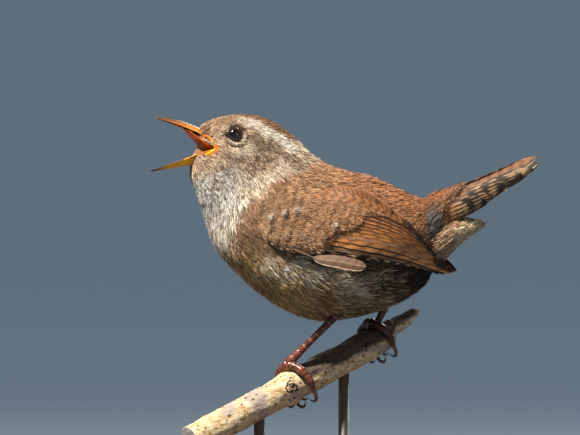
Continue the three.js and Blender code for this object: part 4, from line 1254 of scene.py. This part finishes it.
def build_tail():
    """Six feathers a side in a narrow roof: the middle ones on top and flat, the outer ones
    lower, shorter and turned to face sideways."""
    s = np.linspace(0, 1, 56)[:, None]
    taper = np.sqrt(np.clip(1 - (2 * np.clip(s[:, 0], 0.5, 1) - 1) ** 4, 0.03, 1))
    pieces = []
    for side, name in SIDES:
        centre, beside, normal, half = [], [], [], []
        for k in range(5, -1, -1):
            share = k / 5
            root = np.array([27.0, side * (0.6 + 1.3 * share), 3.2 - 4.2 * share])
            tip = np.array([TAIL_TIPS[k][0], side * (0.9 + 2.3 * share), TAIL_TIPS[k][1]])
            bow = np.array([0, side * 1.6 * share, -0.9 + 0.4 * share])
            line = root + (tip - root) * s + bow * np.sin(np.pi * s)
            line = line + [0, 0, AXIS_HEIGHT]
            forward = unit(np.gradient(line, axis=0))
            lean = math.radians(58 + 40 * share)
            up = unit(np.cross(np.cross(forward, [0, 0, 1.0]), forward))
            across = unit(np.cross(forward, [0, 0, 1.0]))
            across = across * np.sign(across[:, 1:2] * side)
            n = unit(up * math.cos(lean) + across * math.sin(lean))
            b = unit(np.cross(forward, n))
            b = b * np.sign((b * (across - up)).sum(-1, keepdims=True))
            centre.append(line)
            beside.append(b)
            normal.append(n)
            half.append((1.75 + 0.25 * share) * taper * (0.6 + 0.4 * smooth(s[:, 0], 0, 0.3)))
        pieces.append(vanes(
            "tail_%s_feathers" % name, *(np.array(k) for k in (centre, beside, normal, half)),
            tail_feather_paint, columns=19, seed=61 + side))
    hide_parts("tail_left", "tail_centre")
    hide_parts("tail_right")
    return pieces


def tail_feather_paint(f, s, t):
    """The middle feathers, numbered last, are brown with narrow bars and a black and a white line
    along the lower edge; the outer ones are pale and dark in streaks along them, broken by bars."""
    r = feather_number(f, 37.719, 0.3)
    bars = stripes(s * 10.5 + 0.32 * t + 0.15 * r, 0.1, 0.5)
    c = mix(srgb(122, 78, 46), srgb(62, 38, 24), 0.7 * bars)
    c = mix(c, srgb(172, 128, 88), 0.7 * smooth(-t, 0.66, 0.9))
    c = mix(c, DARK, smooth(t, 0.40, 0.5))
    c = mix(c, srgb(226, 206, 178), 0.85 * (1 - smooth(np.abs(t - 0.78), 0.05, 0.14)))
    ragged = waves(np.stack([s * 30, t * 1.4, f * 3.0], -1), 0.9, 65)
    streak = smooth(np.sin(FULL_TURN * (2.3 * t + 0.8 * r + 0.8 * s)) + 2.6 * (ragged - 0.5), 0.2, 0.7)
    low = mix(srgb(46, 28, 16), srgb(182, 146, 108), streak)
    low = mix(low, DARK, 0.4 * bars * (1 - 0.5 * streak))
    low = mix(low, srgb(176, 112, 60), 0.5 * (1 - smooth(s, 0.3, 0.6)))
    outer = smooth(3.6 - f, 0.0, 0.4)
    c = mix(c, low, outer)
    second = smooth(f, 3.4, 3.6) * (1 - smooth(f, 4.4, 4.6))
    c = mix(c, mix(DARK, srgb(222, 200, 172), 1 - smooth(np.abs(t - 0.45), 0.06, 0.16)), 0.9 * second)
    c = mix(c, DARK, 0.55 * outer * smooth(s, 0.5, 0.8) * (1 - 0.5 * streak))
    return c * (0.9 + 0.2 * r)[..., None]


BILL_ARCH_POINTS = 21


def bill_rings(table, rows=48):
    """Half of the bill: the outer arch is edge + depth (1 - |y|^2.2), the inner one a wall within."""
    at = np.linspace(0, len(table) - 1, rows)
    x, ridge, edge, half = spline(table, at).T
    depth = ridge - edge
    wall = np.minimum(0.55, 0.8 * np.abs(depth)) * np.sign(depth)
    y = np.sin(np.linspace(-np.pi / 2, np.pi / 2, BILL_ARCH_POINTS))
    outer_z = edge[:, None] + depth[:, None] * (1 - np.abs(y) ** 2.2)
    inner = y[::-1][1:-1]
    inner_z = edge[:, None] + (depth - wall)[:, None] * (1 - inner**2)
    ys = np.concatenate([half[:, None] * y, half[:, None] * inner * 0.9], 1)
    zs = np.concatenate([outer_z, inner_z], 1)
    return np.broadcast_to(x[:, None], ys.shape), ys, zs


def build_bill():
    """The upper half dark along its ridge, with a pale rim; the lower half orange with a dark tip."""
    pieces = []
    for name, table in (("bill_upper", BILL_UPPER), ("bill_lower", BILL_LOWER)):
        x, y, z = bill_rings(table)
        tip = smooth(-x, 26.5 if name == "bill_lower" else 24.0, 32.0)
        inside = np.broadcast_to(np.arange(y.shape[1]) >= BILL_ARCH_POINTS, y.shape)
        beside = np.abs(y) / np.maximum(np.abs(y).max(1, keepdims=True), 1e-6)
        ridge = smooth(1 - beside, 0.25, 0.75)
        if name == "bill_upper":
            c = mix(srgb(170, 104, 54), srgb(74, 52, 54), 0.95 * smooth(ridge, 0.0, 0.6))
            c = mix(c, srgb(216, 132, 50), 0.8 * near_line(x, z, ((-25.2, 20.2), (-23.0, 19.3)), 0.5))
            c = mix(c, srgb(70, 50, 46), 0.8 * tip)
            c = mix(c, srgb(240, 176, 84), 0.7 * smooth(beside, 0.9, 0.98) * (1 - tip))
            c = mix(c, srgb(124, 58, 8), inside * (1 - 0.3 * tip))
        else:
            c = mix(srgb(252, 178, 34), srgb(246, 158, 22), ridge)
            c = mix(c, srgb(62, 48, 30), 0.9 * smooth(-x, 28.5, 32.5))
            c = mix(c, srgb(238, 140, 10), inside * (1 - tip))
        c = c * (0.9 + 0.2 * waves(np.stack([x, y, z], -1), 0.3, 71))[..., None]
        piece = lofted(name + "_horn", turn_head(x, y, z), end_means(c))
        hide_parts(name)
        pieces.append(piece)
    return pieces


# The mouth's skin in the side view, from the palate's front to the floor's: x, z, half width.
PALATE_TO_FLOOR = np.array([
    [-25.4, 19.4, 1.3], [-23.2, 17.4, 2.5], [-21.5, 15.85, 3.7], [-20.3, 14.75, 4.5],
    [-21.4, 14.45, 3.9], [-23.4, 13.75, 2.7], [-26.0, 12.85, 1.4],
])


def build_mouth():
    """The mouth's skin: a curved sheet from the palate back to the throat and out along the
    floor, with a wall's thickness, and a fleshy yellow fold at each corner."""
    rows, columns = 60, 25
    s = np.linspace(0, 1, rows)
    x, z, half = spline(PALATE_TO_FLOOR, s * (len(PALATE_TO_FLOOR) - 1)).T
    t = np.linspace(-1, 1, columns)
    step = np.stack([np.gradient(x), np.gradient(z)], -1)
    step /= np.linalg.norm(step, axis=-1, keepdims=True)
    away = np.stack([-step[:, 1], step[:, 0]], -1)
    hollow = 0.12 * (1 - t**2)
    grids = []
    for depth in (0.0, 0.2):
        d = hollow[None] + depth
        grids.append((x[:, None] + away[:, :1] * d, half[:, None] * t, z[:, None] + away[:, 1:] * d))
    ring = [np.concatenate([a, b[:, ::-1]], 1) for a, b in zip(*grids)]
    roof = np.repeat((s < 0.5).astype(float), 2 * columns)
    deep = np.repeat(1 - np.abs(2 * s - 1), 2 * columns)
    c = mix(srgb(246, 158, 12), srgb(186, 92, 8), roof)
    # Painted shade deep in the mouth, where the sheet turns into the throat.
    c = mix(c, srgb(96, 34, 4), 0.75 * smooth(deep, 0.6, 1.0))
    lining = lofted("mouth_skin", turn_head(*ring), np.concatenate([c, c[:1], c[-1:]]))
    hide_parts("mouth_lining")
    pieces = [lining]
    k = np.linspace(0, 1, 50)
    fold = spline(GAPE, k * (len(GAPE) - 1))
    radius = 0.20 + 0.17 * np.sin(np.pi * k) ** 1.5
    for side, name in SIDES:
        path = turn_head(fold[:, 0], side * fold[:, 2], fold[:, 1])
        points, faces = closed_loft(tube_rings(path, radius, 16, up=(0, 1, 0)))
        c = mix(srgb(250, 184, 30), srgb(206, 112, 14),
                smooth(-np.linspace(-1, 1, len(points)), 0.2, 0.9))
        pieces.append(make_mesh("gape_fold_" + name, points, outward(points, faces), paint=c))
    return pieces


def ball(middle, radius, look, rows=32, columns=48):
    """A sphere whose pole looks along look, and how far round from that pole each point is."""
    side = unit(np.cross(look, [0, 0, 1.0]))
    up = np.cross(side, look)
    a = np.linspace(0.02, np.pi - 0.02, rows)[:, None]
    b = np.linspace(0, 2 * np.pi, columns, endpoint=False)[None]
    round_pole = side * np.cos(b)[..., None] + up * np.sin(b)[..., None]
    rings = middle + radius * (look * np.cos(a)[..., None] + round_pole * np.sin(a)[..., None])
    return rings, np.broadcast_to(a, (rows, columns))


def eyelid(name, middle, look, columns=72, sides=14):
    """A thin ring of bare skin round the eye's front: a tube bent to a circle that is a little
    lower than it is wide, pale in its lower half and creased all round."""
    across = unit(np.cross(look, [0, 0, 1.0]))
    up = np.cross(across, look)
    b = np.linspace(0, 2 * np.pi, columns, endpoint=False)
    squash = 1 - 0.10 * np.sin(b) ** 2
    rings = []
    for step in np.linspace(0, 2 * np.pi, sides, endpoint=False):
        out = EYE["radius"] * 0.99 + 0.22 * np.cos(step)
        high = EYE["radius"] * 0.22 + 0.24 * np.sin(step)
        ring = across * (out * np.cos(b))[:, None] + up * (out * squash * np.sin(b))[:, None]
        rings.append(middle + look * high + ring)
    points = np.stack(rings, 1).reshape(-1, 3)
    j, k = np.meshgrid(np.arange(columns), np.arange(sides), indexing="ij")
    next_j, next_k = (j + 1) % columns * sides, (k + 1) % sides
    j = j * sides
    faces = [np.stack([j + k, next_j + k, next_j + next_k, j + next_k], -1).reshape(-1, 4)]
    low = np.broadcast_to(smooth(-np.sin(b), 0.0, 0.8)[:, None], (columns, sides))
    c = mix(srgb(70, 52, 42), srgb(196, 170, 146), low * 0.8)
    c = c * (0.85 + 0.3 * np.sin(b * 23)[:, None, None] ** 2)
    return make_mesh("eyelid_" + name, points, outward(points, faces), paint=c.reshape(-1, 3))


def build_eyes():
    """Each eye a sphere that looks outwards and a little ahead, with a dark pupil, a brown ring
    round it, and a lid."""
    pieces = []
    for side, name in SIDES:
        middle = eye_place(side)
        look = unit(eye_place(side, 0.3, 1, 0.12) - middle)
        rings, a = ball(middle, EYE["radius"], look)
        iris = smooth(a, 0.52, 0.60) * (1 - smooth(a, 0.85, 1.0))
        eye = lofted("eyeball_" + name, rings, end_firsts(mix(srgb(8, 6, 6), srgb(52, 30, 18), iris)))
        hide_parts("eye_" + name)
        pieces += [eye, eyelid(name, middle, look)]
    return pieces


# Legs and perch

BRANCH_UP = unit(np.array([0, 0, 1.0]) - BRANCH_DIRECTION * BRANCH_DIRECTION[2])
BRANCH_NEAR = np.cross(BRANCH_DIRECTION, BRANCH_UP)
BRANCH_NEAR = BRANCH_NEAR if BRANCH_NEAR[1] < 0 else -BRANCH_NEAR


def round_branch(along, radius, degrees):
    """axis + radius (up cos a + near sin a) at a distance along the branch."""
    a = np.radians(degrees)[..., None]
    out = BRANCH_UP * np.cos(a) + BRANCH_NEAR * np.sin(a)
    return BRANCH_MIDDLE + BRANCH_DIRECTION * along[..., None] + radius[..., None] * out


def branch_radius(along):
    """The branch's radius, straight from section to section."""
    return np.interp(along, BRANCH_SECTIONS[:, 0], BRANCH_SECTIONS[:, 1])


def toe_line(toe, foot, along, clawed):
    """A toe's middle line from the foot round the branch, or its claw's line further round. Both
    lie clear of the bark, and the claw arches away from it by CLAW_LIFT."""
    t = np.linspace(0, 1, 7 if clawed else 8)
    turn = toe["to"] + toe["claw"] * t if clawed else toe["from"] + (toe["to"] - toe["from"]) * t
    place = along + toe["shift"] * (1 if clawed else np.sin(t * np.pi / 2))
    rise = CLAW_LIFT * np.sin(np.pi * np.minimum(t * 0.9 + 0.12, 1)) if clawed else 0
    clear = branch_radius(place) * 1.035 + CLEARANCE + (0.35 + rise if clawed else TOE_RADIUS)
    line = round_branch(place + 0 * t, clear + 0 * t, turn)
    return line if clawed else np.concatenate([foot[None], line])


def leg_paint(points, s, seed, dark):
    """Red-brown, darker where the waves are high and towards the claws, a pale line on each of the
    scales that s counts, all of it times dark, which paints shade on the far leg."""
    c = mix(srgb(132, 66, 46), srgb(78, 42, 28), waves(points, 0.7, seed))
    c = mix(c, srgb(60, 42, 32), 0.75 * smooth(points[:, 2] - 0.9 * points[:, 0], 27, 36))
    c = mix(c, srgb(190, 140, 118), 0.35 * stripes(s, 0.75, 1.0))
    return c * dark


def build_legs():
    """For each leg a shank with nine scales, four padded toes joined at the foot, and a claw on
    each toe. The far leg's paint is darkened as painted shade."""
    pieces = []
    for name, leg in LEGS.items():
        heel, foot = (np.array(leg[k]) + [0, 0, AXIS_HEIGHT] for k in ("heel", "foot"))
        along = float((foot - BRANCH_MIDDLE) @ BRANCH_DIRECTION)
        s = np.linspace(0, 1, 120)
        path = heel + (foot - heel) * s[:, None]
        scutes = s * 9
        step = scutes - np.floor(scutes)
        radius = TARSUS_RADIUS * spline([[1.1], [1.0], [0.9], [1.0], [1.35]], s * 4)[:, 0]
        radius = radius * (1 + 0.09 * smooth(step, 0.0, 0.15) * (1 - 0.7 * step))
        points, faces = closed_loft(tube_rings(path, radius, 24, up=(0, 1, 0)))
        scale = np.concatenate([np.repeat(scutes, 24), [0, 9]])
        # Painted shade: the far leg's paint is multiplied by 0.4.
        dark = 1.0 if name == "left" else 0.4
        seam = 1 - smooth(scale - np.floor(scale), 0.0, 0.12)
        c = mix(leg_paint(points, scale, 81, dark), srgb(50, 26, 18) * dark, 0.8 * seam)
        shank = make_mesh("shank_" + name, points, outward(points, faces), paint=c)
        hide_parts("tarsus_" + name)
        pieces.append(shank)
        parts, paints = [], []
        for toe in TOES:
            line = spline(toe_line(toe, foot, along, False), np.linspace(0, 8, 90))
            k = np.linspace(0, 1, 90)
            pads = 1 + 0.10 * np.sin(k * 3 * 2 * np.pi - 1.2)
            rad = TOE_RADIUS * spline([[1.3], [1.12], [0.95], [0.86], [0.76]], k * 4)[:, 0] * pads
            ridge = 1 + 0.05 * np.abs(np.sin(k * 30))
            points, faces = closed_loft(tube_rings(line, rad * ridge, 18, up=BRANCH_DIRECTION))
            parts.append((points, outward(points, faces)))
            scale, crease = (np.concatenate([np.repeat(k * n, 18), [0, 9]]) for n in (9.5, 12))
            tone = leg_paint(points, scale, 83, dark)
            paints.append(mix(tone, srgb(46, 24, 18) * dark, 0.6 * stripes(crease, 0.7, 1.0)))
            claw = spline(toe_line(toe, foot, along, True), np.linspace(0.25, 6, 60))
            k = np.linspace(0, 1, 60)
            rad = spline([[0.52], [0.46], [0.36], [0.22], [0.05]], k * 4)[:, 0]
            points, faces = closed_loft(tube_rings(claw, rad, 14, 0.85, up=BRANCH_DIRECTION))
            tint = mix(srgb(122, 86, 66), srgb(58, 40, 32),
                       np.concatenate([np.repeat(k, 14), [0, 1]]))
            horn = make_mesh("talon_%s_%s" % (name, toe["name"]), points, outward(points, faces), paint=tint)
            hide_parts("claw_%s_%s" % (name, toe["name"]))
            pieces.append(horn)
        points, faces = join(parts)
        toes = make_mesh("toes_" + name, points, faces, paint=np.concatenate(paints))
        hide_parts("foot_" + name)
        pieces.append(toes)
    return pieces


def build_branch():
    """A round stick with bumpy bark: radius times (1 + soft waves), a ringed knot, a clean cut at
    the low end and a splintered, half broken upper end."""
    columns = 96
    along = np.concatenate([np.linspace(-38.4, 16.0, 190), np.linspace(16.2, 24.8, 70)])
    a, w = np.meshgrid(along, np.arange(columns) * 360 / columns, indexing="ij")
    thin = smooth(a, 15.0, 19.0)
    radius = branch_radius(a)
    p = round_branch(a, radius, w)
    bumps = waves(p, 0.8, 91) - 0.5
    flakes = smooth(waves(p, 0.33, 92), 0.55, 0.7)
    up, near = np.cos(np.radians(w)), np.sin(np.radians(w))
    strips = waves(np.stack([a * 0.25, up * 3, near * 3], -1), 0.5, 93)
    top = smooth(up, -0.2, 0.6)
    dark = smooth(a, -10.5, -7.0) * (0.25 + 1.15 * top)
    shred = dark * smooth(strips, 0.45, 0.75)
    knot = np.exp(-((a + 11.6) / 1.5) ** 2)
    from_eye = np.hypot(a + 12.4, 1.25 * radius * np.radians(w - 78)) + 0.9 * (waves(p, 0.45, 97) - 0.5)
    eye = 1 - smooth(from_eye, 1.1, 2.0)
    rings_round = np.sin(FULL_TURN * (from_eye / 0.75 + 0.25 * waves(p, 0.6, 96)))
    radius = radius + 0.22 * bumps + 0.10 * flakes + 0.28 * shred
    radius = radius + 0.35 * knot * (0.5 + waves(p, 0.5, 94)) + 0.25 * eye * (1 + rings_round)
    end = smooth(a, 23.2, 24.8)
    splinters = waves(np.stack([w / 30, w / 17], -1), 0.6, 95)
    radius = radius * (1 - 0.65 * end * splinters) - 0.3 * thin * shred
    slant = 1.6 * up * smooth(a, 19, 24.6)
    rings = round_branch(a + slant, np.maximum(radius, 0.3), w)
    rings = rings + BRANCH_UP * (1.15 * smooth(a, 16.5, 18.5))[..., None]
    cut = rings[:1].mean(1, keepdims=True)
    caps = [cut + (rings[:1] - cut) * k - BRANCH_DIRECTION * d
            for k, d in ((0.45, 0.06), (0.97, 0.05), (1.0, 0.0))]
    rings = np.concatenate(caps + [rings], 0)
    bare = smooth(a, 23.6, 24.8) * 0.8 + 0.7 * smooth(a, 13, 17) * (1 - top) * smooth(strips, 0.5, 0.7)
    dark = dark + 1.5 * eye * smooth(-rings_round, 0.0, 0.5) + 0.3 * knot
    cap_rings = np.ones((3, columns))
    cap_wood = cap_rings * [[1.0], [1.0], [0.2]]
    piece = lofted("branch_bark", rings, own={
        "dark": end_firsts(np.concatenate([0 * cap_rings, dark])),
        "wood": end_firsts(np.concatenate([cap_wood, bare]))})
    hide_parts("perch_branch")
    return [piece]


BASE_HALF_LENGTH = 46.0
BASE_HALF_WIDTH = 31.0
# Heights of the base's sections, and how far each is drawn in.
BASE_LEVELS = (
    (0.0, 1.2), (0.0, 0.25), (0.25, 0.0), (4.1, 0.0), (4.65, 0.28), (4.93, 0.8), (5.0, 1.5), (5.0, 14.0),
)
# Heights of a rod's sections below its top, and the radii of these and of the top.
ROD_LEVELS = (4.9, 5.0, 5.05, 5.6, 6.1, 6.2, 6.25)
ROD_RADII = np.array([2.3, 2.6, 2.7, 2.7, 2.3, 1.5, 1.2, 1.2])


def build_stand():
    """The base's sections are rounded rectangles, |x|^7 + |y|^7 = 1, drawn in at its bevelled
    edges. Each rod is turned: a foot with round shoulders, then a plain shaft."""
    b = np.linspace(0, 2 * np.pi, 160, endpoint=False)
    cx, cy = (np.sign(k) * np.abs(k) ** (2 / 7) for k in (np.cos(b), np.sin(b)))
    rings = np.array([np.stack([cx * (BASE_HALF_LENGTH - i), cy * (BASE_HALF_WIDTH - i), z + 0 * b], -1)
                      for z, i in BASE_LEVELS])
    base = lofted("stand_base_wood", rings)
    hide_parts("stand_base")
    pieces = [base]
    circle = np.stack([np.cos(b[::4]), np.sin(b[::4]), 0 * b[::4]], -1)
    for k in (1, 2):
        low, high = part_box("stand_rod_%d" % k)
        middle = (low + high) / 2
        z = np.array([*ROD_LEVELS, high.z / MM])
        path = np.stack([middle.x / MM + 0 * z, middle.y / MM + 0 * z, z], -1)
        rings = path[:, None] + ROD_RADII[:, None, None] * circle
        rod = lofted("stand_rod_%d_steel" % k, rings)
        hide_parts("stand_rod_%d" % k)
        pieces.append(rod)
    return pieces


def build_floor():
    """A floor that runs on far behind, sweeps up in a quarter circle and ends in a plain wall, all
    of one even blue-grey."""
    f = Finish("studio_paper", roughness=0.9, base_color=(0.03, 0.04, 0.05, 1),
               emission_color=(0.105, 0.145, 0.185, 1), emission_strength=1.0)
    half_width, sweep_start, sweep, wall_top = 6000, 4500, 500, 3000
    a = np.linspace(0, 1, 60)
    turn = (a - 0.5) * np.pi
    flat = -half_width + 2 * (half_width + sweep_start) * a
    y = np.where(a < 0.5, flat, sweep_start + sweep * np.sin(turn))
    z = np.where(a < 0.5, 0, sweep * (1 - np.cos(turn)))
    y = np.concatenate([y, [sweep_start + sweep]])
    z = np.concatenate([z, [wall_top]])
    x = np.linspace(-half_width, half_width, 40)
    points = np.stack(np.broadcast_arrays(x[None], y[:, None], z[:, None]), -1).reshape(-1, 3)
    floor = make_mesh("floor", points, grid_faces(61, 40)[:, ::-1])
    floor.data.materials.append(f.material)


def lamp(name, place, aim, size, watts, colour):
    """A square lamp at a place in metres, turned so that it looks at aim."""
    data = bpy.data.lights.new(name, "AREA")
    data.size, data.energy, data.color = size, watts, colour
    light = bpy.data.objects.new(name, data)
    bpy.context.scene.collection.objects.link(light)
    light.location = place
    x, y, z = np.asarray(aim, float) - np.asarray(place, float)
    light.rotation_euler = (math.atan2(math.hypot(x, y), -z), 0, math.atan2(y, x) - math.pi / 2)


def build_light():
    """A small warm key lamp high on the left, a wide fill, a rim lamp behind, and a faint sky."""
    world = bpy.data.worlds.new("studio")
    bpy.context.scene.world = world
    world.use_nodes = True
    shade = world.node_tree.nodes["Background"]
    shade.inputs[0].default_value = (0.72, 0.73, 0.76, 1)
    shade.inputs[1].default_value = 0.16
    aim = (0, 0, 0.06)
    lamp("key", (-0.46, -0.50, 1.05), aim, 0.10, 34.0, (1.0, 0.93, 0.82))
    lamp("fill", (0.9, -1.3, 0.35), aim, 0.9, 2.2, (1.0, 0.95, 0.9))
    lamp("rim", (0.35, 0.8, 0.7), aim, 0.35, 5.0, (1.0, 0.96, 0.9))
    scene = bpy.context.scene
    scene.view_settings.view_transform = "Standard"
    scene.view_settings.exposure = 0.0


def build_camera():
    """A long lens, level, square on: the picture's width over PIXELS_PER_MM is what it sees at
    the bird. The bird's middle lies ten pixels right of the picture's."""
    data = bpy.data.cameras.new("camera")
    data.sensor_width = 36.0
    away = 3.0
    data.lens = data.sensor_width * away / (PHOTO_WIDTH / PIXELS_PER_MM * MM)
    data.clip_start, data.clip_end = 0.05, 20
    camera = bpy.data.objects.new("camera", data)
    bpy.context.scene.collection.objects.link(camera)
    camera.location = (-10 / PIXELS_PER_MM * MM, -away, AXIS_HEIGHT * MM)
    camera.rotation_euler = (math.pi / 2, 0, 0)
    bpy.context.scene.camera = camera


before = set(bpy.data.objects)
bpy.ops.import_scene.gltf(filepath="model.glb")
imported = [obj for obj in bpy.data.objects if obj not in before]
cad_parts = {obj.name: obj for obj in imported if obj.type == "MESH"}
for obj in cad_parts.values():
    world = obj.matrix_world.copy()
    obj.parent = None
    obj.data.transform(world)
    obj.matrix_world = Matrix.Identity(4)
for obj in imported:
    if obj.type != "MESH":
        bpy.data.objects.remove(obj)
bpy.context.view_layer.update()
coat = painted("plumage", 0.8, 1500.0, 0.25, sheen_weight=0.06, sheen_roughness=0.5, specular_ior_level=0.3)
vane = painted("vane", 0.62, 2200.0, 0.2, specular_ior_level=0.35)
horny = scaled_finish("leg_skin", 0.27)
glossy = scaled_finish("horn", 0.3)
moist = scaled_finish("mouth_skin", 0.5, specular_ior_level=0.2)
wet = eye_finish()
bark = bark_finish()
stained = stand_finish()
steel = rod_finish()

# How a piece's name starts, its material slot and its finish.
KINDS = (
    ("stand_base", "stand", stained), ("stand_rod", "rod", steel), ("branch", "bark", bark),
    ("talon", "claw", glossy), ("toes", "leg", horny), ("shank", "leg", horny),
    ("eyeball", "eye", wet), ("eyelid", "plumage", horny), ("bill", "bill", glossy),
    ("mouth", "mouth", moist), ("gape", "mouth", moist), ("wing", "plumage", vane),
    ("tail", "plumage", vane), ("", "plumage", coat),
)

pieces = [build_skin()] + build_coat() + [build_eye_ring()] + build_tail_coat()
for wing_side, side_name in SIDES:
    pieces.append(build_shoulder(wing_side, side_name))
    pieces += build_wing(wing_side, side_name)
pieces += build_tail() + build_bill() + build_mouth() + build_eyes() + build_legs()
pieces += build_branch() + build_stand()
for piece in pieces:
    slot, finish = next(kind[1:] for kind in KINDS if piece.name.startswith(kind[0]))
    piece.data.materials.append(finish)
    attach(piece, "root")
build_floor()
build_light()
build_camera()
